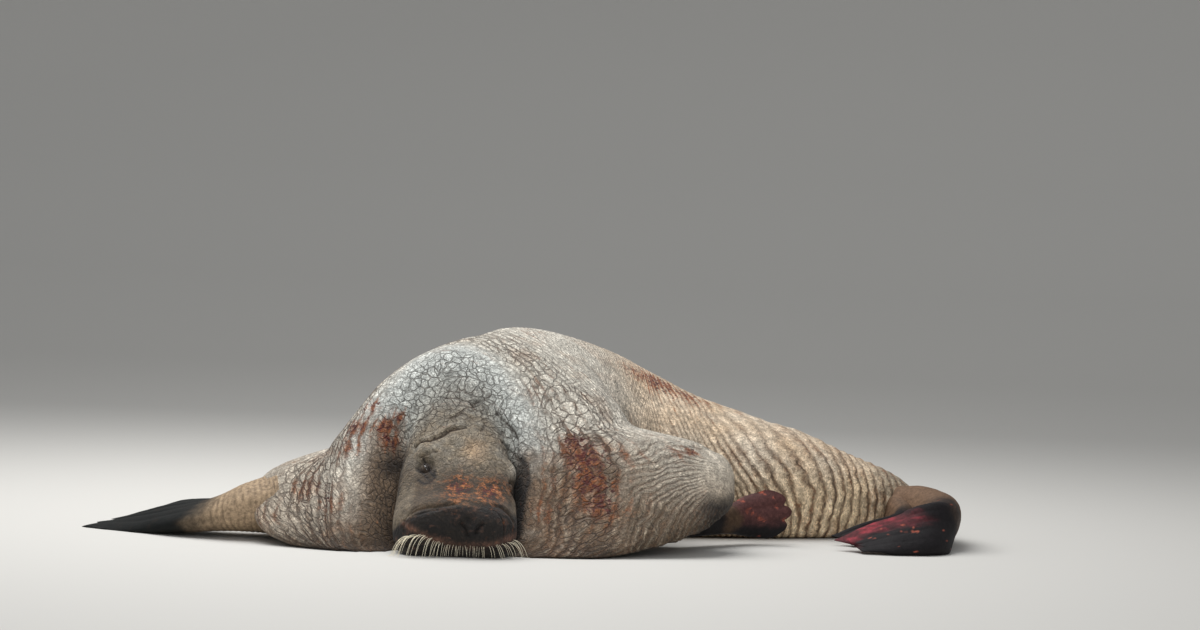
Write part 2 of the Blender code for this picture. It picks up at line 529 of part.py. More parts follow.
# Whiskers: stiff bristles in three tiers on each pad, short by the nose and long at the corner.
random = np.random.default_rng(WHISKER_SEED)
pads = trunk(np.linspace(0.03, 0.24, 43), 240)
pads_normal = outward(pads)
bristles = bpy.data.collections.new("bristles")
bpy.context.scene.collection.children.link(bristles)
for sign in (1, -1):
    for number in range(WHISKERS_A_SIDE):
        share = (number + 0.5 * random.random()) / WHISKERS_A_SIDE
        tier = number % 3
        row = int(np.interp(0.064 + 0.120 * share, (0.03, 0.24), (0, 42)))
        climb = np.arange(8, 80) * sign
        height = MOUTH_HEIGHT + 0.011 + 0.012 * tier + 0.004 * random.random()
        column = climb[np.argmin(np.abs(pads[row, climb, 2] - height))]
        root = pads[row, column]
        ahead = pads_normal[row, column]
        length = 0.026 + 0.060 * share ** 1.5 + 0.008 * random.random()
        curve = np.linspace(0, 1, 4)[:, None]
        sag = np.array((0.22 * sign * share, -0.35 * share, -1.0))
        line = root - ahead * 0.005 + ahead * (length * curve * (1 - 0.45 * curve)) \
            + sag * (length * 0.62 * curve ** 2)
        line[:, 2] = np.maximum(line[:, 2], 0.004 + 0.002 * random.random())
        line[0] = root - ahead * 0.005
        forward = unit(np.gradient(line, axis=0))
        side_way = unit(np.cross(forward, (0.0, 0.3, 1.0)))
        third = np.cross(forward, side_way)
        radius = WHISKER_RADIUS * np.array((1.0, 0.9, 0.6, 0.25))[:, None, None]
        turn_round = np.linspace(0, 2 * math.pi, 3, endpoint=False)[None, :, None]
        tube = line[:, None] + radius * (np.cos(turn_round) * side_way[:, None]
                                         + np.sin(turn_round) * third[:, None])
        bristle = closed_mesh("bristle", tube, line[0], line[-1] + forward[-1] * 0.002)
        bpy.context.scene.collection.objects.unlink(bristle)
        bristles.objects.link(bristle)
combine(muzzle, "UNION", bristles)

# Flippers: each is set in a pocket that clears it by the gap.
for name, carriers, sizes in FLIPPERS:
    closed_mesh(name, flipper(*sizes, 0.0, 13, 20))
    for carrier in carriers:
        node = bpy.data.objects[carrier]
        combine(node, "DIFFERENCE", closed_mesh("pocket", flipper(*sizes, 1.3 * GAP, 13, 20)))
for name, number in STACKED:
    pocket = closed_mesh("pocket", flipper(*FLIPPERS[number][2], 1.3 * GAP, 13, 20))
    combine(bpy.data.objects[name], "DIFFERENCE", pocket)

# Move the origin to the floor, in the middle of the outline.
total = 0
low = np.full(3, 9.0)
high = -low
for thing in bpy.data.objects:
    count = len(thing.data.vertices)
    points = np.empty(count * 3)
    thing.data.vertices.foreach_get("co", points)
    points = points.reshape(-1, 3) + np.array((SHIFT[0], SHIFT[1], 0))
    thing.data.vertices.foreach_set("co", points.ravel())
    thing.data.update()
    low = np.minimum(low, points.min(0))
    high = np.maximum(high, points.max(0))
    total += len(thing.data.polygons)
    print(thing.name, len(thing.data.polygons), points.min(0).round(3), points.max(0).round(3))
print("triangles", total, "box", low.round(4), high.round(4))
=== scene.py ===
# %% [markdown]
# # A walrus asleep on its belly
# The whole animal is one tube of skin: a head pulled back into a thick neck, a chest that
# spreads on the floor, and a hind body that bends round to its left.  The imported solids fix
# its size and outline.  Here one continuous skin takes their place, so that no seam shows,
# and it carries what the solids leave out: ring folds, cracked wrinkles, lids and whiskers.

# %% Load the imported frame
import math
import bpy
import numpy as np
from mathutils import Euler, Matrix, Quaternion, Vector


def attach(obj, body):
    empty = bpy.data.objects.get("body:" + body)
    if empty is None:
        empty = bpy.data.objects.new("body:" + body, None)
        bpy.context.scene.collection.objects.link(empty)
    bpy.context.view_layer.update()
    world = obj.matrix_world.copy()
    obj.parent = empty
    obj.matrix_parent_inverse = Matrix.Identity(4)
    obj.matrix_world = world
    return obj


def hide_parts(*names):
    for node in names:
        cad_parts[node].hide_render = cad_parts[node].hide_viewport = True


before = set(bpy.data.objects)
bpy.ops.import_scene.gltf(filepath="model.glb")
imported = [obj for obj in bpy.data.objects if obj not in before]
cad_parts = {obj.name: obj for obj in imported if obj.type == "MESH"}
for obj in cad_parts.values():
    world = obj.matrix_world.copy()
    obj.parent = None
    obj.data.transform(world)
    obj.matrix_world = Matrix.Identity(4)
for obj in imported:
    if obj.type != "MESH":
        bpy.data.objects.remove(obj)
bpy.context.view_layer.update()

# %% [markdown]
# ## The form
# A row of cross sections describes the body, as the ribs of a boat do.  Each row gives where
# it stands along a guide line, how high and wide it is, and how its flanks curve.  Between the
# rows every size runs through a smooth curve.  The same rows make the solids, so the skin and
# the solids agree everywhere.

# %% Sizes of the body, in metres
TURN_FROM, TURN_TO = 0.42, 1.32             # where the guide line bends
HEAD_HEADING, TAIL_HEADING = 90.0, 5.0      # its direction before and after, in degrees
SHIFT = np.array((-0.1740, -0.6868, 0.0))   # from the muzzle to the middle of the outline
BELLY_SPREAD = 0.72
ELBOW_OUT, ELBOW_MIDDLE, ELBOW_HALF = 0.255, 0.176, 0.172
SLEEVE_OUT, SLEEVE_MIDDLE, SLEEVE_HALF = 0.200, 0.105, 0.148
FIELDS = ("seam", "along_low", "along_high", "low", "high", "centre", "left", "right", "widest",
          "left_shape", "right_shape", "elbow", "sleeve")
# Nose pole, nose front, muzzle front, muzzle full, muzzle rear, eyes, forehead, crown, hood front,
# hood crest, neck, shoulder front, shoulders, arm back, chest back, belly, loin, waist, hips,
# rump, tail root, ankles, tail, tail tip.  The first number is the step from the row before.
ROWS = np.array((
    (0.00, -.055, -.055, -.055, .085, .085, -.025, -.025, -.025, .085, 0.90, 0.90, 0, 0),
    (0.06, -.040, -.040, -.035, .040, .135, -.025, .060, -.110, .085, 0.90, 0.90, 0, 0),
    (0.06, -.018, -.018, -.005, 0, .160, -.025, .122, -.172, .080, 0.80, 0.80, 0, 0),
    (0.06, .030, .030, .045, 0, .175, -.025, .150, -.200, .078, 0.75, 0.75, 0, 0),
    (0.05, .070, .070, .095, 0, .205, -.030, .148, -.203, .085, 0.80, 0.80, 0, 0),
    (0.06, .105, .105, .165, 0, .270, -.037, .142, -.200, .120, 0.80, 0.80, 0, 0),
    (0.09, .130, .130, .265, 0, .355, -.050, .134, -.200, .150, 0.85, 0.85, 0, 0),
    (0.10, .155, .155, .370, 0, .440, -.060, .120, -.195, .170, 0.90, 0.90, 0, 0),
    (0.10, .175, .045, .450, 0, .536, -.066, .172, -.280, .160, 1.00, 1.00, 0, 0),
    (0.10, .215, .020, .530, 0, .583, -.050, .280, -.390, .160, 1.10, 1.25, 0, 0),
    (0.13, .275, .040, .620, 0, .604, 0, .430, -.425, .150, 1.35, 1.80, 0.25, 0.3),
    (0.13, .335, .100, .720, 0, .618, .010, .500, -.430, .150, 1.45, 2.00, 0.9, 0.9),
    (0.14, .415, .230, .820, 0, .622, .010, .520, -.425, .150, 1.45, 2.00, 1.0, 1.0),
    (0.16, .520, .420, .930, 0, .615, -.010, .500, -.420, .150, 1.30, 1.90, 0.7, 0.7),
    (0.16, .680, .650, 1.040, 0, .592, -.030, .450, -.445, .150, 1.15, 1.45, 0.1, 0.1),
    (0.18, .930, .930, 1.170, 0, .550, -.030, .420, -.490, .150, 1.05, 1.15, 0, 0),
    (0.20, 1.200, 1.200, 1.310, 0, .482, -.020, .380, -.440, .150, 1.00, 1.00, 0, 0),
    (0.20, 1.450, 1.450, 1.470, 0, .408, -.010, .345, -.385, .145, 1.00, 1.00, 0, 0),
    (0.18, 1.640, 1.640, 1.640, 0, .355, 0, .320, -.340, .140, 0.95, 0.95, 0, 0),
    (0.18, 1.800, 1.800, 1.800, 0, .312, 0, .280, -.290, .130, 0.95, 0.95, 0, 0),
    (0.15, 1.940, 1.940, 1.930, 0, .255, 0, .225, -.235, .115, 0.95, 0.95, 0, 0),
    (0.14, 2.070, 2.070, 2.050, 0, .205, 0, .170, -.180, .100, 0.95, 0.95, 0, 0),
    (0.09, 2.150, 2.150, 2.130, .010, .155, 0, .100, -.105, .085, 0.95, 0.95, 0, 0),
    (0.06, 2.190, 2.190, 2.190, .070, .070, 0, 0, 0, .070, 0.95, 0.95, 0, 0),
))
PLACE = np.cumsum(ROWS[:, 0])
ROW_SIZES = {field: ROWS[:, 1 + i] for i, field in enumerate(FIELDS)}
LAST_ROW = PLACE[-1]
print("rows:", len(ROWS), "last place", round(LAST_ROW, 3))


# %% Curves and sections
def ramp(x, start, end):
    """A smooth step from 0 at start to 1 at end: 3s^2 - 2s^3 of the share s between them."""
    share = np.clip((x - start) / (end - start), 0.0, 1.0)
    return share * share * (3 - 2 * share)


def unit(vectors):
    """Vectors divided by their length."""
    return vectors / np.maximum(np.linalg.norm(vectors, axis=-1, keepdims=True), 1e-12)


def through(places, values, x):
    """Hermite cubics through the values.  The slope at a row is the harmonic mean of its two
    neighbours' slopes, or zero at a peak, so the curve never swings past a value."""
    places = np.asarray(places, float)
    values = np.asarray(values, float)
    width = np.diff(places)
    slope = np.diff(values) / width
    tangent = np.zeros_like(values)
    same = slope[:-1] * slope[1:] > 0
    both = np.where(same, slope[:-1] + slope[1:], 1.0)
    tangent[1:-1] = np.where(same, 2 * slope[:-1] * slope[1:] / both, 0.0)
    tangent[0] = slope[0]
    tangent[-1] = slope[-1]
    i = np.clip(np.searchsorted(places, x, side="right") - 1, 0, len(width) - 1)
    part = (x - places[i]) / width[i]
    square = part * part
    cube = square * part
    start = (2 * cube - 3 * square + 1) * values[i] + (cube - 2 * square + part) * width[i] * tangent[i]
    end = (3 * square - 2 * cube) * values[i + 1] + (cube - square) * width[i] * tangent[i + 1]
    return start + end


def guide(along):
    """Place and heading of the guide line: the heading turns from head to tail, half evenly and
    half as a smooth step, and the place is the running sum of (cos, sin) of the heading."""
    fine = np.linspace(-0.1, 2.6, 2701)
    part = np.clip((fine - TURN_FROM) / (TURN_TO - TURN_FROM), 0, 1)
    turned = 0.5 * part + 0.5 * part * part * (3 - 2 * part)
    heading = np.radians(HEAD_HEADING + (TAIL_HEADING - HEAD_HEADING) * turned)
    middle = (heading[1:] + heading[:-1]) / 2
    step = fine[1] - fine[0]
    x = np.concatenate([[0], np.cumsum(np.cos(middle)) * step])
    y = np.concatenate([[0], np.cumsum(np.sin(middle)) * step]) - 0.1
    return np.interp(along, fine, x), np.interp(along, fine, y), np.interp(along, fine, heading)


def sections(rows):
    """Cross sections: height follows the sine and reach a power of the cosine of an angle that
    starts at the belly seam and climbs the left side first.  Elbow and sleeve push the flanks
    out by 1 - (distance from their middle / half height)^n; n is 4 over the elbow, 2.2 under
    it and 3 for the sleeve."""
    half = 240
    up_left = np.linspace(-math.pi / 2, math.pi / 2, half + 1)
    angle = np.concatenate([up_left, up_left[1:] + math.pi])[None]
    size = {field: through(PLACE, ROW_SIZES[field], rows)[:, None] for field in FIELDS}
    sine = np.sin(angle)
    side = np.abs(np.cos(angle))
    rise = np.clip(sine, 0, 1)
    curl = 1 - (1 - np.clip(np.clip(-sine, 0, 1) / BELLY_SPREAD, 0, 1)) ** 2
    above = size["widest"] + (size["high"] - size["widest"]) * rise ** 0.97
    below = size["widest"] - (size["widest"] - size["low"]) * curl
    height = np.where(sine >= 0, above, below)
    left = np.cos(angle) > 0
    shape = np.where(left, size["left_shape"], size["right_shape"])
    shape = 0.75 + (shape - 0.75) * ramp(rise, 0.0, 0.45)
    reach = np.where(left, size["left"], size["right"]) - size["centre"]
    across = size["centre"] + reach * side ** shape
    flank = ramp(side, 0.05, 0.5)
    round_off = np.where(height < ELBOW_MIDDLE, 2.2, 4.0)
    elbow = np.clip(1 - (np.abs(height - ELBOW_MIDDLE) / ELBOW_HALF) ** round_off, 0, 1)
    sleeve = np.clip(1 - (np.abs(height - SLEEVE_MIDDLE) / SLEEVE_HALF) ** 3, 0, 1)
    across = across + np.where(left, ELBOW_OUT * size["elbow"] * elbow, 0) * flank
    across = across - np.where(left, 0, SLEEVE_OUT * size["sleeve"] * sleeve) * flank
    share = np.clip((height - size["low"]) / np.maximum(size["high"] - size["low"], 1e-6), 0, 1)
    edge = np.clip(np.abs(across - size["centre"]) / np.maximum(0.76 * np.abs(reach), 1e-6), 0, 1)
    inner = 1 - edge ** (4 + 6 * (1 - ramp(rows, 0.48, 0.62)))[:, None]
    foot = size["along_low"] + (size["seam"] - size["along_low"]) * inner * (1 - ramp(height, 0.0, 0.04))
    along = foot + (size["along_high"] - foot) * share
    return along, across, height


def spread(along, across, height, shares):
    """Points at the given shares of each section's length, 0 to 1 up the left side and 1 to 2
    down the right.  What lies on the floor counts a quarter, so it takes fewer points."""
    half = across.shape[1] // 2
    sides = []
    for side, part in enumerate((slice(0, half + 1), slice(half, 2 * half + 1))):
        curves = np.stack([along[:, part], across[:, part], height[:, part]], -1)
        steps = np.linalg.norm(np.diff(curves, axis=1) * np.array([0.55, 1.0, 1.0]), axis=-1) + 1e-9
        steps = steps * np.where(curves[:, 1:, 2] < 0.004, 0.25, 1.0)
        length = np.concatenate([np.zeros((len(curves), 1)), np.cumsum(steps, 1)], 1)
        length = length / length[:, -1:]
        inside = (shares[0] >= side) & (shares[0] < side + 1)
        rows = [[np.interp(shares[i, inside] - side, length[i], curves[i, :, k]) for k in range(3)]
                for i in range(len(curves))]
        sides.append(np.array(rows).transpose(0, 2, 1))
    return np.concatenate(sides, 1)


def outward(points):
    """Outward normals of a grid whose columns close: the cross product of its two slopes."""
    along = np.gradient(points, axis=0)
    around = np.roll(points, -1, 1) - np.roll(points, 1, 1)
    return unit(np.cross(along, around))


def body(rows, shares):
    """The bare skin as a grid of points: sections set square on the guide line."""
    flat = spread(*sections(rows), shares)
    x, y, heading = guide(flat[..., 0])
    across = flat[..., 1]
    return np.stack([x + np.sin(heading) * across, y - np.cos(heading) * across, flat[..., 2]], -1)


even = np.tile(np.arange(0, 2, 2 / 120), (60, 1))
coarse_rows = np.linspace(0.01, LAST_ROW - 0.01, 60)
coarse = body(coarse_rows, even)
print("bare skin reaches", coarse.reshape(-1, 3).min(0).round(3), coarse.reshape(-1, 3).max(0).round(3))

# %% [markdown]
# ## Chance, kept the same each time
# Skin is never regular.  Value noise, a number field that swells and sinks softly, bends every
# fold a little.  It is worked out from whole numbers, so it comes out the same in every run.


# %% Noise
def chance(key, seed):
    """A number from 0 to 1 for each whole-number place: its bits are multiplied and mixed."""
    mixed = (key[..., 0] * 73856093) ^ (key[..., 1] * 19349663) ^ (key[..., 2] * 83492791)
    mixed = (mixed ^ (seed * 7919 + 101)) & 0x7fffffff
    mixed = ((mixed ^ (mixed >> 15)) * 1274126177) & 0x7fffffff
    mixed = ((mixed ^ (mixed >> 13)) * 668265263) & 0x7fffffff
    return ((mixed ^ (mixed >> 16)) & 0xffff) / 65535.0


def noise(points, size, seed=0):
    """Value noise from -1 to 1: chance at the corners of cells of this size, joined by smooth
    steps."""
    cell = points / size
    base = np.floor(cell).astype(np.int64)
    part = cell - base
    part = part * part * (3 - 2 * part)
    total = np.zeros(points.shape[:-1])
    for corner in range(8):
        step = np.array([(corner >> axis) & 1 for axis in range(3)])
        weight = np.prod(np.where(step == 1, part, 1 - part), axis=-1)
        total = total + weight * chance(base + step, seed)
    return total * 2 - 1


def layered(points, size, seed=0):
    """Three sizes of noise, each half as wide and half as strong as the one before."""
    return (noise(points, size, seed) + noise(points, size / 2, seed + 1) / 2
            + noise(points, size / 4, seed + 2) / 4) / 1.75


# %% [markdown]
# ## How many points, and where
# A surface shows only what its points can carry.  The face gets a point every 3 mm, and more
# round the eyes, the neck and hind body one every 6 mm along the body, because their folds
# run round it, and the belly on the floor almost none.

# %% Rows and columns of the skin
FINE_TO = 0.62                  # the last row with the fine columns
FINE_COLUMNS, COARSE_COLUMNS = 248, 124
EYES = {"right": ((-0.119, 0.150, 0.232), -50.0), "left": ((0.148, 0.155, 0.176), 24.0)}

speeds = np.linalg.norm(np.diff(coarse, axis=0), axis=-1)[:, 24:96].mean(1) / np.diff(coarse_rows)
speed_rows = (coarse_rows[1:] + coarse_rows[:-1]) / 2
probe = np.linspace(0.006, LAST_ROW - 0.006, 4000)
wanted = np.interp(probe, (0, .20, .225, .33, .36, .48, .60, .70, 1.70, 2.10, 2.70, 2.79),
                   (.0035, .0035, .0023, .0023, .0038, .0045, .0052, .0062, .0062, .0050, .0050, .010))
count = np.cumsum(np.interp(probe, speed_rows, speeds) * (probe[1] - probe[0]) / wanted)
row_places = np.interp(np.arange(1, int(count[-1])), count, probe)
fine_rows = row_places[row_places <= FINE_TO]
coarse_rows = row_places[row_places > FINE_TO]

close = np.argmin([[np.linalg.norm(coarse - np.array(place), axis=-1).min(0)] for place, tilt in EYES.values()], axis=2)
eye_shares = even[0][close[:, 0]]
share_probe = np.linspace(0, 2, 4001)
crowd = 1 + sum(1.3 * np.exp(-((share_probe - s) / 0.07) ** 2) for s in eye_shares)
crowd = np.concatenate([[0], np.cumsum((crowd[1:] + crowd[:-1]) / 2)])


def crowded(count):
    """Shares that crowd towards the eyes, with one at 0 and one at 1, the top of the head."""
    halves = []
    for low, high in ((0, 2000), (2000, 4000)):
        steps = np.linspace(crowd[low], crowd[high], count // 2 + 1)[:-1]
        halves.append(np.interp(steps, crowd, share_probe))
    return np.concatenate(halves)


def shares_at(rows, count):
    """Crowded shares on the face that turn even by the crown."""
    mix = ramp(rows, 0.34, 0.56)[:, None]
    return crowded(count)[None] * (1 - mix) + np.arange(0, 2, 2 / count)[None] * mix


print("rows", len(fine_rows), "and", len(coarse_rows), "eye shares", eye_shares.round(3),
      "triangles about", 2 * (len(fine_rows) * FINE_COLUMNS + len(coarse_rows) * COARSE_COLUMNS))

# %% [markdown]
# ## Folds, creases and wrinkles
# The hide lies loose on the fat.  On the hind body it stands in rings, pale on the crest and
# dark between, where the colour adds a painted highlight on the crests and painted shade in
# the valleys.  Round the neck the rings are finer and crack into bricks.  On the elbow the
# folds run together into the armpit.  On the face single creases follow the brows.

# %% Soft forms and creases of the face
# Mounds and dents: x, y, z, radius, height.
FORMS = (
    (0.072, -0.025, 0.078, 0.075, 0.016),     # left whisker pad
    (-0.112, -0.025, 0.078, 0.075, 0.016),    # right whisker pad
    (0.018, -0.050, 0.100, 0.030, -0.006),    # nose between the pads
    (-0.119, 0.154, 0.235, 0.042, -0.012),    # right eye socket
    (0.146, 0.158, 0.172, 0.045, -0.016),     # left eye socket
    (-0.120, 0.190, 0.280, 0.050, 0.014),     # right brow
    (0.125, 0.200, 0.230, 0.055, 0.014),      # left brow
    (-0.010, 0.230, 0.330, 0.080, 0.010),     # forehead
)
# The creases that the solids have too: corners, half width, depth.
WIDE_CREASES = (
    (((-.160, -.005, .112), (-.144, -.018, .117), (-.078, -.028, .139), (.004, -.014, .154),
      (.084, -.005, .142), (.139, .030, .118), (.150, .050, .105)), .014, .003),
    (((.010, .330, .400), (.001, .261, .349), (-.072, .224, .320), (-.108, .206, .299),
      (-.153, .207, .277)), .014, .006),
    (((.010, .330, .400), (.074, .326, .371), (.111, .306, .321), (.140, .270, .267)), .014, .006),
    (((-.020, -.052, .090), (.018, -.052, .060), (.018, -.050, .030)), .010, .004),
)
# Sharp lines in the skin, thinner than the solids can carry: four over the right eye, one on
# the crown, four over the left eye and between the brows, and the folds over the whisker pads.
FINE_CREASES = (
    (((-.157, .224, .285), (-.141, .225, .299), (-.113, .214, .304), (-.086, .227, .315),
      (-.059, .239, .333), (-.028, .243, .340), (-.007, .245, .343)), .0042, .0075),
    (((-.132, .255, .329), (-.133, .283, .350), (-.091, .279, .363), (-.047, .284, .371),
      (-.023, .308, .387)), .0032, .0055),
    (((-.161, .306, .340), (-.129, .306, .369), (-.106, .332, .400)), .0030, .0045),
    (((-.149, .166, .243), (-.135, .171, .265), (-.114, .167, .273), (-.092, .173, .280)), .0030, .0040),
    (((-.088, .351, .420), (-.038, .351, .422), (-.004, .337, .401), (.014, .351, .412),
      (.051, .375, .433)), .0040, .0055),
    (((.072, .347, .382), (.098, .332, .358), (.123, .306, .330), (.136, .287, .309)), .0040, .0060),
    (((.087, .258, .305), (.106, .292, .282), (.132, .272, .263), (.150, .243, .252)), .0040, .0065),
    (((.028, .333, .384), (.039, .286, .356), (.026, .237, .333)), .0026, .0045),
    (((.089, .324, .333), (.079, .270, .319), (.071, .227, .298)), .0026, .0035),
    (((-.165, -.017, .097), (-.133, -.021, .125), (-.079, -.024, .138), (-.025, -.018, .148)), .0045, .0045),
    (((-.167, -.020, .081), (-.119, -.035, .119), (-.064, -.030, .134)), .0035, .0035),
    (((.084, .007, .145), (.107, .016, .136), (.127, .020, .119), (.141, .018, .098)), .0050, .0060),
)
NOSTRILS = (((-.004, -.047, .098), (.011, -.047, .080), (.015, -.046, .064)),
            ((.056, -.050, .096), (.042, -.052, .082), (.040, -.052, .072)))


def distance_to_line(points, corners):
    """Shortest distance from each point to the straight pieces between the corners."""
    best = np.full(points.shape[:-1], 9.0)
    for a, b in zip(corners[:-1], corners[1:]):
        a = np.array(a)
        edge = np.array(b) - a
        share = np.clip(((points - a) @ edge) / (edge @ edge), 0, 1)
        best = np.minimum(best, np.linalg.norm(points - a - share[..., None] * edge, axis=-1))
    return best


def crease(points, corners, half_width, depth):
    """A sharp groove with a low swelling on each side: -exp(-d/w) + 0.3 exp(-((d-3w)/2w)^2)."""
    gap = distance_to_line(points, corners) / half_width
    return depth * (0.3 * np.exp(-((gap - 3) / 2) ** 2) - np.exp(-gap ** 1.3))


def face_forms(points, rows):
    """Height of the forms and creases that the solids have too, faded out at the neck."""
    push = np.zeros(points.shape[:-1])
    for x, y, z, radius, height in FORMS:
        near = np.clip(np.linalg.norm(points - np.array((x, y, z)), axis=-1) / radius, 0, 1)
        push = push + height * (1 - near ** 2) ** 2 * (1 - ramp(rows, 0.40, 0.465))
    for corners, half_width, depth in WIDE_CREASES:
        push = push - depth * np.exp(-(distance_to_line(points, corners) / half_width) ** 2)
    return push


def face_lines(points, rows):
    """Depth of the fine creases, the nostrils and the mouth line on the formed face."""
    push = np.zeros(points.shape[:-1])
    wander = points + 0.005 * np.stack([noise(points, 0.05, seed) for seed in (3, 4, 5)], -1)
    wander = wander + 0.0018 * np.stack([noise(points, 0.014, seed) for seed in (6, 7, 8)], -1)
    for corners, half_width, depth in FINE_CREASES:
        push = push + crease(wander, corners, half_width, depth)
    for corners in NOSTRILS:
        push = push - 0.013 * np.exp(-(distance_to_line(points, corners) / 0.0048) ** 2)
    lips = np.exp(-((points[..., 2] - 0.028) / 0.004) ** 2) * (rows < 0.2)
    return (push - 0.006 * lips) * (rows < 0.7)


# %% Ring folds and the folds of the elbow
back_line = body(probe[::8], np.tile([0.0, 1.0], (500, 1)))[:, 1]
back_length = np.concatenate([[0], np.cumsum(np.linalg.norm(np.diff(back_line, axis=0), axis=1))])
# From one ring to the next: rows, then steps for neck, loins and hind body.
RING_STEPS = ((0, 1.0, 1.5, 1.8, 2.12, 2.3, 2.8), (.025, .025, .020, .017, .017, .029, .029))
ring_step = np.interp(probe[::8], *RING_STEPS)
ring_count = np.concatenate([[0], np.cumsum(np.diff(back_length) / ring_step[1:])])
ARMPIT = np.array((0.767, 0.388, 0.207))


def ring_phase(points, rows):
    """Rings counted from the muzzle, a groove at each whole number.  Over the loins the row is
    moved by 0.6 z, so that the folds lean, and behind them it bulges back at half height."""
    height = points[..., 2]
    lean = 0.6 * height * ramp(rows, 1.45, 1.80) * (1 - ramp(rows, 1.95, 2.50))
    bulge = 0.04 * (1 - ((height - 0.15) / 0.15) ** 2) * ramp(rows, 2.1, 2.4)
    calm = 1 - 0.6 * ramp(rows, 1.6, 2.2)
    wander = layered(points, 0.24, 11) * 1.1 * calm + layered(points, 0.07, 14) * 0.32
    return np.interp(rows + lean - bulge, probe[::8], ring_count) + wander


def fan_phase(points):
    """Folds that meet in the armpit: the angle round it, turned further the farther out."""
    ahead = ARMPIT[0] - points[..., 0]
    up = points[..., 2] - ARMPIT[2]
    reach = np.hypot(ahead, up)
    phase = (np.arctan2(up, ahead) + 2.0 * reach) / 0.085 + layered(points, 0.10, 15) * 2.2
    return reach, phase


def on_arm(points, rows):
    """1 on the left elbow and 0 elsewhere."""
    x, y, z = np.moveaxis(points, -1, 0)
    mask = ramp(x, 0.40, 0.50) * (1 - ramp(z, 0.29, 0.36)) * (1 - ramp(y, 0.50, 0.60))
    return mask * (1 - ramp(rows, 1.06, 1.16))


def roll(phase):
    """A half circle over each step, 1 on the crest and 0 in the groove."""
    part = phase % 1.0 * 2 - 1
    return np.sqrt(np.clip(1 - part * part, 0, 1))


def ridge(phase):
    """A narrow crest midway between the grooves: exp(-(d / 0.22)^2)."""
    return np.exp(-((phase % 1.0 - 0.5) / 0.22) ** 2)


def neck_folds(points, rows):
    """How strong the neck folds are: from the rim to the chest, weaker on the top."""
    mask = ramp(rows, 0.56, 0.70) * (1 - 0.4 * ramp(rows, 0.78, 0.95)) * (1 - ramp(rows, 1.3, 1.9))
    mask = mask * (1 - on_arm(points, rows))
    return mask * (1 - 0.2 * ramp(points[..., 2], 0.34, 0.52))


def trunk_relief(points, rows):
    """Ridges on the hind body, finer broken rolls on neck and shoulders, folds of the elbow."""
    lifted = ramp(points[..., 2], 0.004, 0.05)
    phase = ring_phase(points, rows)
    hind = np.interp(rows, (1.15, 1.6, 2.1, 2.35, 2.60, 2.74), (0, .003, .0055, .0140, .0125, 0))
    hind = hind * (0.75 + 0.35 * noise(points, 0.13, 21) + 0.35 * noise(points, 0.05, 22)) * (1 - 0.65 * ramp(outward(points)[..., 2], 0.5, 0.95))
    neck = 0.0070 * neck_folds(points, rows) * np.clip(0.8 + 0.6 * noise(points, 0.08, 41), 0.2, 1.3)
    reach, fan = fan_phase(points)
    arm = 0.0075 * on_arm(points, rows) * ramp(reach, 0.03, 0.12) * (ridge(fan / 2.5) - 0.5)
    broad = layered(points, 0.13, 51) * 0.006 * ramp(rows, 0.5, 0.75)
    rim = 0.007 * np.exp(-((rows - 0.60) / 0.035) ** 2) - 0.005 * np.exp(-((rows - 0.685) / 0.03) ** 2)
    lines = (ridge(phase) - 0.85) * hind + (roll(phase) - 1) * neck + arm
    return (lines + broad + rim) * lifted, phase


# %% Lids
EYE_RADIUS, EYE_SUNK = 0.0165, 0.0095
LID_THICKNESS = 0.0022


def eye_frames():
    """For each eye its middle and three directions: out of the skin, along the slit, across it."""
    rows = np.linspace(0.2, 0.38, 90)
    skin = body(rows, shares_at(rows, FINE_COLUMNS))
    skin = skin + outward(skin) * face_forms(skin, rows[:, None])[..., None]
    normal = outward(skin)
    found = {}
    for side, (place, tilt) in EYES.items():
        spot = np.unravel_index(np.argmin(np.linalg.norm(skin - np.array(place), axis=-1)), skin.shape[:2])
        ahead = normal[spot]
        level = unit(np.cross((0, 0, 1), ahead))
        above = np.cross(ahead, level)
        turn = math.radians(tilt)
        found[side] = (skin[spot] - ahead * EYE_SUNK, ahead,
                       level * math.cos(turn) + above * math.sin(turn),
                       above * math.cos(turn) - level * math.sin(turn))
    return found


EYE_PLACES = eye_frames()
SLITS = {"right": 0.0012, "left": 0.0062}     # half the height of each opening


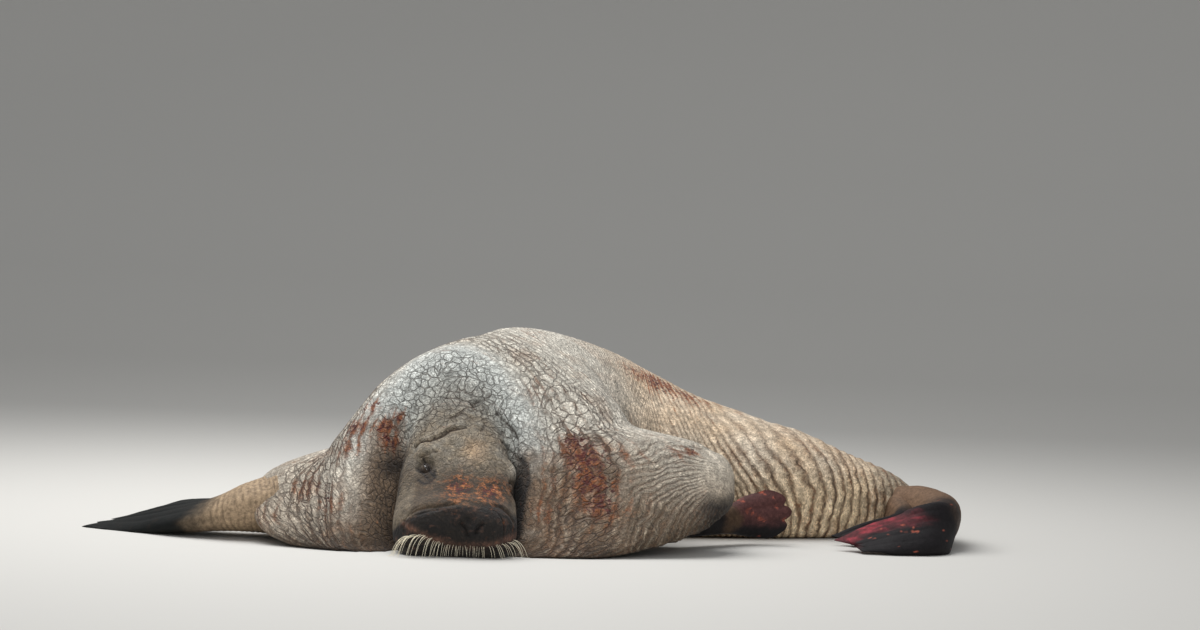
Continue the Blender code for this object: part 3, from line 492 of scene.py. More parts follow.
def lids(points):
    """Skin near an eye is laid on the ball: its distance from the middle becomes the radius and
    the lid's thickness, less in the slit |b| < s(1 - (a/r)^2), where it dips behind the ball.
    Also gives the painted shade of each point: 1 in the slit, less in the troughs of the wrinkles and under the lid."""
    dark = np.zeros(points.shape[:-1])
    for side, (middle, ahead, level, above) in EYE_PLACES.items():
        offset = points - middle
        a = offset @ level
        b = offset @ above
        c = offset @ ahead
        flat = np.hypot(a, b)
        near = (1 - ramp(flat, EYE_RADIUS * 1.0, EYE_RADIUS * 1.9)) * (c > -0.02)
        slit = SLITS[side] * (1 - (a / (EYE_RADIUS * 0.9)) ** 2)
        gap = np.abs(b) - slit
        open_part = (1 - ramp(gap, 0, 0.0016)) * (slit > 0)
        waves = np.cos(np.clip(gap, 0, 1) / 0.0075 * 2 * math.pi + noise(points, 0.02, 19) * 1.5)
        radius = EYE_RADIUS + LID_THICKNESS + 0.0014 * waves - open_part * (LID_THICKNESS + 0.0035)
        radius = radius + 0.0018 * np.exp(-((gap - 0.0025) / 0.0018) ** 2)
        height = np.sqrt(np.clip(radius ** 2 - flat ** 2, (EYE_RADIUS * 0.3) ** 2, 1))
        target = middle + level * a[..., None] + above * b[..., None] + ahead * height[..., None]
        points = points + (target - points) * near[..., None]
        # Painted shade: the slit, a crescent under the lid and the troughs of the lid wrinkles are darkened.
        crescent = np.exp(-((flat - EYE_RADIUS * 1.25) / 0.006) ** 2) * ramp(-b + 0.5 * a, 0.0, 0.02)
        lines = ramp(-waves, 0.2, 1.0) * (1 - ramp(flat, EYE_RADIUS * 1.1, EYE_RADIUS * 1.6))
        dark = np.maximum(dark, np.maximum(open_part * near, np.maximum(0.85 * crescent, 0.7 * lines)))
    return points, dark


print("eyes at", {side: (places[0] + SHIFT).round(4).tolist() for side, places in EYE_PLACES.items()})

# %% [markdown]
# ## Colour of the hide
# The hide is pale cream where it has dried, tan towards the tail and the belly, grey-brown on
# the face and nearly black-brown on the muzzle.  Creases and deep folds are painted darker as
# painted shade, a few bulges lighter as painted highlight, the low hind body lighter as painted
# light, and there are rust stains where old grazes bled.  Every tone is a named mask times a
# named colour, worked out for each point of the skin and kept in an attribute that the
# material reads.

# %% Colours and where they lie
INSET = 0.0012                  # how far the hair roots lie under the solids


def linear(code):
    """sRGB hex to linear light: c/12.92 up to 0.04045, else ((c + 0.055)/1.055)^2.4."""
    parts = np.array([int(code[i:i + 2], 16) / 255 for i in (1, 3, 5)])
    return np.where(parts <= 0.04045, parts / 12.92, ((parts + 0.055) / 1.055) ** 2.4)


CREAM, ICE, ASH, TAN = "#e8e1d2", "#cfd3ce", "#b2b1a7", "#bf9a6c"
FAWN, GREY_BROWN, EARTH, GROOVE = "#a08a70", "#807462", "#5b4835", "#3a2c21"
MUZZLE_BROWN, PINK_BROWN, RUST, ORANGE, BLOOD = "#191513", "#6b4c3e", "#8a4d24", "#b9642c", "#4b1816"
# Stains of the hide: x, y, z, radius, strength.
STAINS = (
    (-.249, .296, .332, .04, .9), (-.211, .325, .361, .03, .7), (-.232, .279, .294, .04, .9),
    (-.335, .300, .329, .05, .8), (-.355, .255, .275, .05, .7), (-.293, .345, .386, .04, .7),
    (-.447, .180, .162, .07, .55), (-.386, .130, .126, .06, .60), (.330, .266, .268, .08, 1.0),
    (.353, .209, .203, .08, 1.0), (.375, .164, .150, .075, .9), (.297, .300, .309, .05, .9),
    (.259, .194, .201, .05, .5), (.224, .125, .120, .06, .5), (.549, .906, .461, .11, .9),
    (.630, .918, .424, .09, .8), (.484, .865, .486, .08, .7), (.640, .370, .290, .03, .9),
    (.590, .350, .300, .04, .6), (.520, .330, .200, .05, .5), (.450, .300, .250, .05, .5),
)

# Strokes of painted shade: corners, half width, first and last row.  The wrinkles and the
# crescent of the right eye, then the deep fold between the left cheek and the hood, are
# darkened where shade falls in them.  Depth counts a quarter.
SEEN = np.array((1.0, 0.25, 1.0))
SHADE_STROKES = (
    (((-.128, .167, .256), (-.098, .115, .216)), .0038, 0, .36),
    (((-.133, .144, .224), (-.104, .098, .201)), .0038, 0, .36),
    (((-.122, .159, .243), (-.090, .102, .210)), .0034, 0, .36),
    (((-.136, .109, .199), (-.119, .092, .192), (-.102, .090, .196), (-.091, .105, .209),
      (-.092, .125, .227)), .0050, 0, .36),
    (((.152, .244, .256), (.166, .225, .237), (.174, .195, .199), (.166, .177, .171), (.159, .163, .145),
      (.156, .150, .100), (.154, .150, .040)), .0090, .36, .7),
)


def blend(colour, other, mask):
    """Colour moved towards another by a mask from 0 to 1."""
    return colour + (linear(other) - colour) * np.clip(mask, 0, 1)[..., None]


def hide_colour(points, rows, push, dark):
    """Linear colour of each point: tones by place, then the face, then painted shade in deep creases."""
    x, y, z = np.moveaxis(points, -1, 0)
    soft = layered(points, 0.12, 61)
    fine = layered(points, 0.03, 71)
    colour = np.broadcast_to(linear(CREAM), points.shape).copy()
    low = 1 - ramp(z + 0.05 * soft, 0.08, 0.40)
    hind = ramp(rows, 1.5, 2.0)
    colour = blend(colour, FAWN, 0.85 * low * ramp(rows, 0.5, 0.8) * (1 - hind) * (1 - 0.35 * ramp(-x, 0.2, 0.4)))
    colour = blend(colour, ASH, 0.35 * ramp(z, 0.40, 0.55))
    colour = blend(colour, TAN, (0.58 + 0.3 * soft) * ramp(rows, 1.3, 1.8))
    # Painted light: the low hind body is made lighter, standing in for light thrown up from the floor.
    colour = blend(colour, "#ffe4bd", hind * (1 - ramp(z, 0.09, 0.27)))
    colour = blend(colour, GREY_BROWN, 0.8 * ramp(rows, 2.50, 2.66))
    rim = (1 - ramp(rows + 0.02 * soft, 0.60, 0.70)) * ramp(z + 0.02 * soft, 0.20, 0.30)
    colour = blend(colour, ICE, 0.9 * rim)
    colour = blend(colour, ASH, (1 - ramp(rows + 0.03 * soft, 0.47, 0.56)) * (0.85 + 0.3 * soft))
    flank = ramp(x, 0.12, 0.16) * (1 - ramp(x + 0.05 * soft, 0.36, 0.50)) * (1 - ramp(z + 0.04 * soft, 0.18, 0.36))
    colour = blend(colour, "#715c48", np.clip(1.2 * flank * (0.85 + 0.6 * fine), 0, 0.97) * (rows < 1.1))
    elbow = ramp(x, 0.40, 0.50) * (1 - ramp(y, 0.55, 0.66)) * (1 - ramp(z + 0.02 * fine, 0.08, 0.22))
    colour = blend(colour, EARTH, 0.85 * elbow)
    colour = blend(colour, GREY_BROWN, 0.28 * on_arm(points, rows))
    # Painted shade: nearly black in the gap under the back of the elbow, where shade falls.
    armpit = ramp(x, 0.62, 0.70) * (1 - ramp(y, 0.55, 0.66)) * (1 - ramp(z, 0.14, 0.19)) * (rows < 1.6)
    colour = blend(colour, MUZZLE_BROWN, 0.9 * armpit)
    face = 1 - ramp(rows + 0.03 * soft, 0.38, 0.50)
    colour = blend(colour, GREY_BROWN, face * (0.9 + 0.4 * fine))
    colour = blend(colour, "#463829", 0.92 * face * (1 - ramp(z + 0.03 * fine, 0.18, 0.29)))
    patch = np.exp(-((rows - 0.47) / 0.05) ** 2) * np.exp(-((x + 0.02) / 0.09) ** 2)
    colour = blend(colour, GROOVE, patch * (0.40 + 0.5 * fine))
    # Painted shade: nearly black in the deep fold between the face and the body.
    fold_shade = ramp(rows, 0.34, 0.40) * (1 - ramp(rows + 0.02 * fine, 0.555, 0.60)) * (1 - ramp(z + 0.02 * soft, 0.20, 0.31))
    colour = blend(colour, "#0d0b09", 0.985 * fold_shade)
    # Painted shade: brown in the deep fold between the right cheek and the hood.
    face_fold_shade = ramp(-x, 0.145, 0.175) * (1 - ramp(-x + 0.05 * soft, 0.23, 0.36)) * ramp(rows, 0.36, 0.42)
    face_fold_shade = face_fold_shade * (1 - ramp(rows, 0.66, 0.80)) * (1 - ramp(z + 0.05 * fine, 0.18, 0.34))
    colour = blend(colour, EARTH, face_fold_shade * (0.90 + 0.5 * fine))
    hood = ramp(-x, 0.17, 0.21) * (1 - ramp(-x, 0.27, 0.35)) * (1 - ramp(z + 0.03 * fine, 0.31, 0.40)) * (rows < 0.9)
    colour = blend(colour, "#86705a", 0.75 * hood * (rows > 0.4))
    # Painted shade: the darkest middle of the same fold beside the right cheek.
    fold_shade_core = np.exp(-((x + 0.215) / 0.045) ** 2 - ((z - 0.225) / 0.035) ** 2) * (rows > 0.36) * (rows < 0.8)
    colour = blend(colour, MUZZLE_BROWN, 0.9 * fold_shade_core)
    # Painted highlight: a lighter tan spot on the lit brow between the eyes.
    bridge_highlight = np.exp(-((x - 0.018) ** 2 + (z - 0.285) ** 2) / 0.03 ** 2) * face
    colour = blend(colour, "#d8b48e", 0.5 * bridge_highlight)
    # Painted highlight on the lit bulge of the left upper lid.
    lid = np.exp(-((x - 0.142) ** 2 + (z - 0.235) ** 2) / 0.022 ** 2) * face
    colour = blend(colour, CREAM, 0.6 * lid)
    cheek = ramp(np.abs(x + 0.006), 0.130, 0.150) * (rows < 0.3) * (1 - ramp(z, 0.18, 0.22))
    colour = blend(colour, GREY_BROWN, 0.6 * cheek)
    band = nose_band(x, z, rows)
    colour = blend(colour, "#3f2d1e", 0.95 * np.minimum(band * 1.6, 1))
    edge = np.interp(x, (-.20, -.167, -.108, -.052, .100, .149, .18), (.06, .098, .133, .146, .151, .109, .06))
    nose = (1 - ramp(z - edge - 0.006 * fine, -0.010, 0.006)) * (1 - ramp(rows, 0.30, 0.36))
    colour = blend(colour, MUZZLE_BROWN, nose * (0.96 + 0.15 * fine))
    pores = ramp(layered(points, 0.011, 77), 0.20, 0.55)
    colour = blend(colour, PINK_BROWN, 0.35 * nose * pores)
    lip = nose * np.exp(-((z - 0.034 - 0.026 * ((x - 0.02) / 0.125) ** 2) / 0.010) ** 2)
    colour = blend(colour, PINK_BROWN, 0.60 * lip * (0.9 + 0.9 * fine))
    # Painted shade: the fine creases, nostrils and mouth line are darkened by their depth.
    colour = blend(colour, GROOVE, np.clip(-push / 0.0030, 0, 1) ** 1.2 * ramp(rows, 0.10, 0.16) * 0.9)
    # Painted shade from the lids: the eye slits, the lid wrinkles and the crescents under the lids.
    colour = blend(colour, MUZZLE_BROWN, dark)
    oval = np.exp(-np.linalg.norm((points - np.array((-.113, .132, .222))) / np.array((.022, .05, .030)), axis=-1) ** 4)
    colour = blend(colour, "#33281f", 0.85 * oval)
    # Painted shade along the eye wrinkles and in the deep fold beside the left cheek.
    for corners, half_width, first_row, last_row in SHADE_STROKES:
        gap = distance_to_line(points * SEEN, np.array(corners) * SEEN) / half_width
        here = (rows > first_row) & (rows < last_row)
        colour = blend(colour, MUZZLE_BROWN, 0.95 * np.exp(-gap ** 2) * here)
    left_low = ramp(-x, 0.14, 0.20) * (1 - ramp(-x, 0.34, 0.50)) * (1 - ramp(z + 0.04 * fine, 0.02, 0.17))
    colour = blend(colour, EARTH, 0.9 * left_low * (rows > 0.36) * (rows < 1.1))
    foot = 1 - ramp(z + 0.012 * soft, 0.004, 0.06)
    colour = blend(colour, GROOVE, 0.65 * foot * ramp(rows, 0.3, 0.5) * (1 - hind))
    return colour * (1 + 0.15 * fine[..., None])


def nose_band(x, z, rows):
    """Orange rust on the bridge of the nose, from 0 to 1: two round patches on a faint band."""
    wide = np.exp(-(np.abs(x - 0.020) / 0.10) ** 4) * np.exp(-(np.abs(z - 0.180) / 0.030) ** 3)
    left = np.exp(-((x - 0.070) / 0.036) ** 2 - ((z - 0.178) / 0.028) ** 2)
    right = np.exp(-((x + 0.022) / 0.036) ** 2 - ((z - 0.188) / 0.032) ** 2)
    return (0.25 * wide + 0.75 * np.maximum(left, right)) * (rows < 0.3)


def stain_mask(points, rows):
    """How stained each point is: the listed stains, a faint wash, and the rusty nose."""
    mask = 0.34 * ramp(layered(points, 0.15, 65), -0.1, 0.6) * ramp(rows, 0.56, 0.7)
    for x, y, z, radius, strength in STAINS:
        gap = np.linalg.norm(points - np.array((x, y, z)), axis=-1) / radius
        mask = np.maximum(mask, strength * np.exp(-gap ** 2))
    return mask


# %% Lay the skin
def block(rows, count):
    """One block of the skin.  Points, colours, the two pattern maps (metres round the body and
    ring phase; reach from the armpit and fan phase), and two sets of three masks."""
    bare = body(rows, shares_at(rows, count))
    normal = outward(bare)
    places = np.broadcast_to(rows[:, None], bare.shape[:-1])
    push, phase = trunk_relief(bare, places)
    forms = np.zeros_like(push)
    lines = np.zeros_like(push)
    head = rows < 0.72
    forms[head] = face_forms(bare[head], places[head])
    formed = bare + normal * forms[..., None]
    lines[head] = face_lines(formed[head], places[head])
    inset = INSET * ramp(bare[..., 2], 0.0, 0.02)
    points = formed + normal * (push + lines - inset)[..., None]
    points[..., 2] = np.maximum(points[..., 2], 0.0)
    dark = np.zeros_like(push)
    eyes = (rows > 0.18) & (rows < 0.42)
    points[eyes], dark[eyes] = lids(points[eyes])
    colour = hide_colour(formed, places, lines, dark)
    steps = np.linalg.norm(np.roll(bare, -1, 1) - bare, axis=-1)
    around = np.cumsum(steps, 1) - np.cumsum(steps, 1)[:, count // 2:count // 2 + 1]
    reach, fan = fan_phase(bare)
    arm = on_arm(bare, places)
    crown = (0.45 * ramp(places, 0.20, 0.28) + 0.55 * ramp(places, 0.34, 0.42)) * (1 - 0.8 * ramp(places, 0.54, 0.66)) * (1 - ramp(places, 0.9, 1.1))
    hind = ramp(places, 1.50, 2.3) * (1 - ramp(places, 2.66, 2.76)) * (1 - arm)
    hind = hind * (1 - 0.55 * ramp(normal[..., 2], 0.55, 0.95))
    parts = np.stack([crown, neck_folds(bare, places), hind], -1)
    band = nose_band(formed[..., 0], formed[..., 2], places)
    marks = np.stack([stain_mask(formed, places), arm * ramp(reach, 0.05, 0.16), band], -1)
    return points, colour, np.stack([around, phase, reach, fan], -1), parts, marks


def make_mesh(name, points, faces, smooth=True):
    """A mesh object in the row frame from points in the muzzle frame."""
    mesh = bpy.data.meshes.new(name)
    mesh.from_pydata((points + SHIFT).tolist(), [], faces.tolist())
    mesh.update()
    mesh.polygons.foreach_set("use_smooth", [smooth] * len(mesh.polygons))
    thing = bpy.data.objects.new(name, mesh)
    bpy.context.scene.collection.objects.link(thing)
    return thing


def paint(thing, name, colours):
    """Store a colour for each point of a mesh as an attribute."""
    layer = thing.data.attributes.new(name, "FLOAT_COLOR", "POINT")
    rgba = np.concatenate([colours, np.ones(colours.shape[:-1] + (1,))], -1)
    layer.data.foreach_set("color", rgba.reshape(-1).astype(np.float32))


def ring_faces(index):
    """Two triangles for each cell of a grid of point numbers whose columns close."""
    turned = np.roll(index, -1, 1)
    a, b, c, d = index[:-1], turned[:-1], turned[1:], index[1:]
    return np.concatenate([np.stack([a, d, c], -1).reshape(-1, 3), np.stack([a, c, b], -1).reshape(-1, 3)])


front = block(np.append(fine_rows, coarse_rows[0]), FINE_COLUMNS)
rear = block(np.insert(coarse_rows, 0, fine_rows[-1]), COARSE_COLUMNS)
front = [part[:-1] for part in front]
rear = [part[1:] for part in rear]
first = np.arange(front[0][..., 0].size).reshape(front[0].shape[:2])
second = np.arange(rear[0][..., 0].size).reshape(rear[0].shape[:2]) + first.size
a, b, c = first[-1, 0::2], first[-1, 1::2], np.roll(first[-1, 0::2], -1)
d, e = second[0], np.roll(second[0], -1)
strip = np.concatenate([np.stack(t, -1) for t in ((a, d, b), (b, d, e), (b, e, c))])
nose, tip = first.size + second.size, first.size + second.size + 1
start = np.stack([np.full(FINE_COLUMNS, nose), first[0], np.roll(first[0], -1)], -1)
end = np.stack([np.full(COARSE_COLUMNS, tip), np.roll(second[-1], -1), second[-1]], -1)
faces = np.concatenate([ring_faces(first), ring_faces(second), strip, start, end])
flat = [np.concatenate([f.reshape(-1, f.shape[-1]), r.reshape(-1, r.shape[-1]), f[0].mean(0)[None], r[-1].mean(0)[None]])
        for f, r in zip(front, rear)]
corners = flat[0][faces]
if (corners[:, 0] * np.cross(corners[:, 1], corners[:, 2])).sum() < 0:
    faces = faces[:, ::-1]
skin = make_mesh("skin", flat[0], faces)
paint(skin, "coat", flat[1])
paint(skin, "parts", flat[3])
paint(skin, "marks", flat[4])
maps = flat[2][faces]
span = maps[..., 0].max(1) - maps[..., 0].min(1)
maps[..., 0] = np.where((span > 0.5)[:, None] & (maps[..., 0] < 0), maps[..., 0] + 4.0, maps[..., 0])
for name, first_of_two in (("rings", 0), ("fan", 2)):
    layer = skin.data.uv_layers.new(name=name)
    layer.data.foreach_set("uv", maps[..., first_of_two:first_of_two + 2].reshape(-1).astype(np.float32))
print("skin triangles", len(faces))

# %% [markdown]
# ## Finishes
# Materials are built from nodes by one small function that adds a node, sets its values and
# links its inputs.


# %% One function for nodes
def add(tree, kind, settings=None, inputs=None):
    """Add a shader node.  Settings are its own properties; an input is linked if its value is
    a socket and set if it is a plain value."""
    node = tree.nodes.new("ShaderNode" + kind)
    for key, value in (settings or {}).items():
        setattr(node, key, value)
    for key, value in (inputs or {}).items():
        if isinstance(value, bpy.types.NodeSocket):
            tree.links.new(value, node.inputs[key])
        else:
            node.inputs[key].default_value = value
    return node


def new_material(name):
    """An empty node material with its output and a Principled shader joined."""
    made = bpy.data.materials.new(name)
    made.use_nodes = True
    made.node_tree.nodes.clear()
    shader = add(made.node_tree, "BsdfPrincipled")
    add(made.node_tree, "OutputMaterial", None, {"Surface": shader.outputs[0]})
    return made, made.node_tree, shader


# %% Walrus hide: thick bare-looking skin under very short, coarse hair
hide, tree, shader = new_material("walrus_hide")
place = add(tree, "TexCoord").outputs["Object"]
coat = add(tree, "Attribute", {"attribute_name": "coat"}).outputs["Color"]
parts = add(tree, "SeparateColor", None, {0: add(tree, "Attribute", {"attribute_name": "parts"}).outputs["Color"]})
marks = add(tree, "SeparateColor", None, {0: add(tree, "Attribute", {"attribute_name": "marks"}).outputs["Color"]})
rings = add(tree, "UVMap", {"uv_map": "rings"}).outputs[0]
fan = add(tree, "UVMap", {"uv_map": "fan"}).outputs[0]


def math_node(how, *values):
    """One Math node: ADD, MULTIPLY and so on."""
    return add(tree, "Math", {"operation": how}, dict(enumerate(values))).outputs[0]


def step(value, low, high, start=0.0, end=1.0):
    """A smooth step of a value from low to high, given out between start and end."""
    return add(tree, "MapRange", {"interpolation_type": "SMOOTHSTEP"}, {
        "Value": value, "From Min": low, "From Max": high, "To Min": start, "To Max": end}).outputs[0]


def grain(vector, scale, detail=3.0, rough=0.5):
    """Noise of so many cells to the metre, or to the unit of the vector."""
    return add(tree, "TexNoise", None, {"Vector": vector, "Scale": scale, "Detail": detail, "Roughness": rough})


def moved(vector, scale, shift, amount):
    """A vector times a scale plus a noise colour times an amount."""
    scaled = add(tree, "VectorMath", {"operation": "MULTIPLY"}, {0: vector, 1: scale}).outputs[0]
    return add(tree, "VectorMath", {"operation": "MULTIPLY_ADD"}, {0: shift, 1: amount, 2: scaled}).outputs[0]


def cracks(vector, width):
    """1 on the borders of cells of size one and 0 inside."""
    cells = add(tree, "TexVoronoi", {"feature": "DISTANCE_TO_EDGE"}, {"Vector": vector, "Scale": 1.0})
    return step(cells.outputs["Distance"], 0.0, width, 1.0, 0.0)


def toward(colour, other, amount):
    """A colour socket mixed towards an sRGB colour."""
    mixed = add(tree, "Mix", {"data_type": "RGBA"}, {0: amount, 6: colour, 7: (*linear(other), 1)})
    return mixed.outputs[2]


wiggle = grain(place, 26.0, 4.0, 0.6).outputs["Color"]
slow = grain(place, 14.0, 2.0, 0.5).outputs["Color"]
patchy = grain(place, 11.0, 3.0).outputs[0]


def fold_pattern(vector):
    """Thin fold lines at whole numbers of v, cross cracks 26 mm apart, and streaks along both."""
    bent = moved(vector, (1.0, 1.0, 1.0), wiggle, (0.02, 1.0, 0.0))
    saw = math_node("PINGPONG", add(tree, "SeparateXYZ", None, {0: bent}).outputs[1], 0.5)
    line = math_node("MULTIPLY", step(saw, 0.0, 0.17, 1.0, 0.0), step(patchy, 0.36, 0.56, 0.45, 1.0))
    brick = cracks(moved(bent, (31.0, 1.0, 1.0), slow, (1.6, 0.8, 0.0)), 0.12)
    small = cracks(moved(bent, (85.0, 2.3, 1.0), slow, (1.6, 0.2, 0.0)), 0.20)
    streak = grain(moved(vector, (9.0, 0.75, 1.0), wiggle, (0.4, 0.5, 0.0)), 1.0, 5.0, 0.62).outputs[0]
    return saw, line, brick, small, streak


def times(first, *others):
    """The product of sockets and numbers."""
    for other in others:
        first = math_node("MULTIPLY", first, other)
    return first


def most(first, *others):
    """The greatest of sockets and numbers."""
    for other in others:
        first = math_node("MAXIMUM", first, other)
    return first


saw, line, brick, small, streak = fold_pattern(rings)
fan_saw, fan_line, fan_brick, fan_small, fan_streak = fold_pattern(fan)
crown, neck, hind = parts.outputs[0], parts.outputs[1], parts.outputs[2]
stained, arm, band = marks.outputs[0], marks.outputs[1], marks.outputs[2]
mud = cracks(moved(place, (42.0, 42.0, 42.0), slow, (2.6, 2.6, 2.6)), 0.12)
mud_small = cracks(moved(place, (110.0, 110.0, 110.0), slow, (3.0, 3.0, 3.0)), 0.15)
mottle = grain(place, 70.0, 6.0, 0.70).outputs[0]
coarse_mottle = grain(place, 34.0, 4.0, 0.6).outputs[0]
hair = grain(place, 300.0, 3.0, 0.75).outputs[0]
laid = grain(moved(place, (330.0, 330.0, 75.0), slow, (20.0, 20.0, 20.0)), 1.0, 2.0, 0.6).outputs[0]
bent_place = moved(place, (1.0, 1.0, 1.0), wiggle, (0.01, 0.01, 0.01))
pebble = add(tree, "TexVoronoi", {"feature": "F1"}, {"Vector": bent_place, "Scale": 115.0}).outputs["Distance"]

# Depth of every kind of line, each by its mask.
broken = step(coarse_mottle, 0.36, 0.58, 0.55, 1.0)
ring_line = times(most(times(most(line, brick, times(small, 0.35)), neck), times(line, hind, 0.6)), broken)
fan_lines = times(most(times(fan_line, 0.8), times(fan_brick, 0.6), times(fan_small, 0.4)), arm, broken)
mud_line = times(most(mud, times(mud_small, 0.32)), crown, broken)
thin = most(ring_line, fan_lines, mud_line)
# Painted shade: how much each valley between the folds of neck, hind body and elbow is darkened.
ring_valley_shade = times(step(saw, 0.02, 0.40, 1.0, 0.0), math_node("MULTIPLY_ADD", neck, 0.5, hind))
ring_valley_shade = times(most(ring_valley_shade, times(step(fan_saw, 0.0, 0.40, 1.0, 0.0), arm, 0.6)), broken)
# Painted highlight: how much each crest of the folds is lightened.
crest = times(step(saw, 0.22, 0.5), math_node("MULTIPLY_ADD", neck, 0.6, hind))
crest = most(crest, times(step(fan_saw, 0.30, 0.5), arm, 0.5))

streaked = times(step(streak, 0.50, 0.72, 0.0, 0.42), math_node("MAXIMUM", neck, hind))
colour = toward(coat, "#8a6a48", streaked)
colour = toward(colour, "#9c6f4c", times(step(patchy, 0.52, 0.64, 0.0, 0.4), math_node("MAXIMUM", neck, hind)))
# Painted shade in the valleys between the folds.
colour = toward(colour, "#65462b", times(ring_valley_shade, 0.78))
rust = math_node("MULTIPLY_ADD", streak, 0.55, times(mottle, 0.45))
rust = math_node("MULTIPLY_ADD", most(step(saw, 0.05, 0.40, 1.0, 0.0), thin), 0.12, rust)
rust = step(math_node("MULTIPLY_ADD", stained, 0.34, rust), 0.65, 0.90)
colour = toward(colour, RUST, times(rust, 0.95))
# Painted highlight on the crests of the folds, broken up by the mottling.
colour = toward(colour, "#e6d9c1", times(crest, 0.5, step(mottle, 0.38, 0.58, 0.1, 1.0), step(patchy, 0.40, 0.58, 0.2, 1.0)))
# Dark lines along the bottom of each ring groove, painted shade, together with the drawn cracks of the neck bricks.
colour = toward(colour, "#3f2f23", times(ring_line, 0.90))
colour = toward(colour, GROOVE, times(math_node("MAXIMUM", fan_lines, mud_line), 0.74))
blotch = math_node("MULTIPLY_ADD", coarse_mottle, 0.4, times(mottle, 0.6))
colour = toward(colour, "#9a5b2a", times(band, step(blotch, 0.48, 0.55, 0.0, 1.0)))
colour = toward(colour, "#c08a68", times(band, step(blotch, 0.55, 0.62, 0.0, 0.7)))
either = math_node("MULTIPLY_ADD", band, 0.9, stained)
specks = step(math_node("MULTIPLY_ADD", either, 0.28, grain(place, 75.0, 4.0, 0.7).outputs[0]), 0.71, 0.79)
colour = toward(colour, BLOOD, times(specks, 0.9))
tone = times(step(mottle, 0.30, 0.70, 0.74, 1.26), step(hair, 0.30, 0.70, 0.88, 1.12))
tone = times(tone, step(laid, 0.32, 0.68, 0.66, 1.30), step(pebble, 0.0, 0.75, 1.14, 0.82), step(coarse_mottle, 0.34, 0.66, 0.74, 1.22))
colour = add(tree, "VectorMath", {"operation": "SCALE"}, {0: colour, "Scale": tone}).outputs[0]
tree.links.new(colour, shader.inputs["Base Color"])

height = math_node("MULTIPLY_ADD", thin, -1.6, times(hair, 0.26))
height = math_node("MULTIPLY_ADD", mottle, 0.60, height)
height = math_node("MULTIPLY_ADD", laid, 0.35, math_node("MULTIPLY_ADD", pebble, -0.50, height))
height = math_node("MULTIPLY_ADD", step(saw, 0.0, 0.5, 0.0, 1.6), hind, height)
height = math_node("MULTIPLY_ADD", step(saw, 0.0, 0.5, 0.0, 1.2), neck, height)
height = math_node("MULTIPLY_ADD", step(fan_saw, 0.0, 0.5, 0.0, 0.9), arm, height)
bump = add(tree, "Bump", None, {"Strength": 1.0, "Distance": 0.0034, "Height": height})
tree.links.new(bump.outputs[0], shader.inputs["Normal"])
shader.inputs["Roughness"].default_value = 0.80
shader.inputs["Specular IOR Level"].default_value = 0.3
shader.inputs["Sheen Weight"].default_value = 0.05
shader.inputs["Sheen Roughness"].default_value = 0.6
skin.data.materials.append(hide)

FLESH = ("head", "lower_jaw", "muzzle", "neck", "torso_front", "torso_rear", "hips", "tail",
         "upper_arm_left", "upper_arm_right")
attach(skin, "root")
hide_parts(*FLESH)
print("hide nodes", len(tree.nodes))

# %% [markdown]
# ## Flippers
# A flipper is a flattened tube that follows a path.  Digits, five on most and three on the
# left fore flipper, swell its end and the web sinks between them.  Its root lies inside the
# body, where the fold of the armpit hides it.

# %% Flipper skin: bare, smooth and slightly moist
bare, tree, shader = new_material("bare_flipper_skin")
place = add(tree, "TexCoord").outputs["Object"]
coat = add(tree, "Attribute", {"attribute_name": "coat"}).outputs["Color"]
mottle = grain(place, 90.0, 6.0, 0.65).outputs[0]
fine = grain(place, 320.0, 3.0, 0.7).outputs[0]
tone = math_node("MULTIPLY", step(mottle, 0.25, 0.75, 0.62, 1.40), step(fine, 0.25, 0.75, 0.78, 1.24))
colour = add(tree, "VectorMath", {"operation": "SCALE"}, {0: coat, "Scale": tone}).outputs[0]
tree.links.new(colour, shader.inputs["Base Color"])
height = math_node("MULTIPLY_ADD", mottle, 1.0, math_node("MULTIPLY", fine, 0.35))
bump = add(tree, "Bump", None, {"Strength": 0.7, "Distance": 0.002, "Height": height})
tree.links.new(bump.outputs[0], shader.inputs["Normal"])
shader.inputs["Roughness"].default_value = 0.66
shader.inputs["Specular IOR Level"].default_value = 0.18

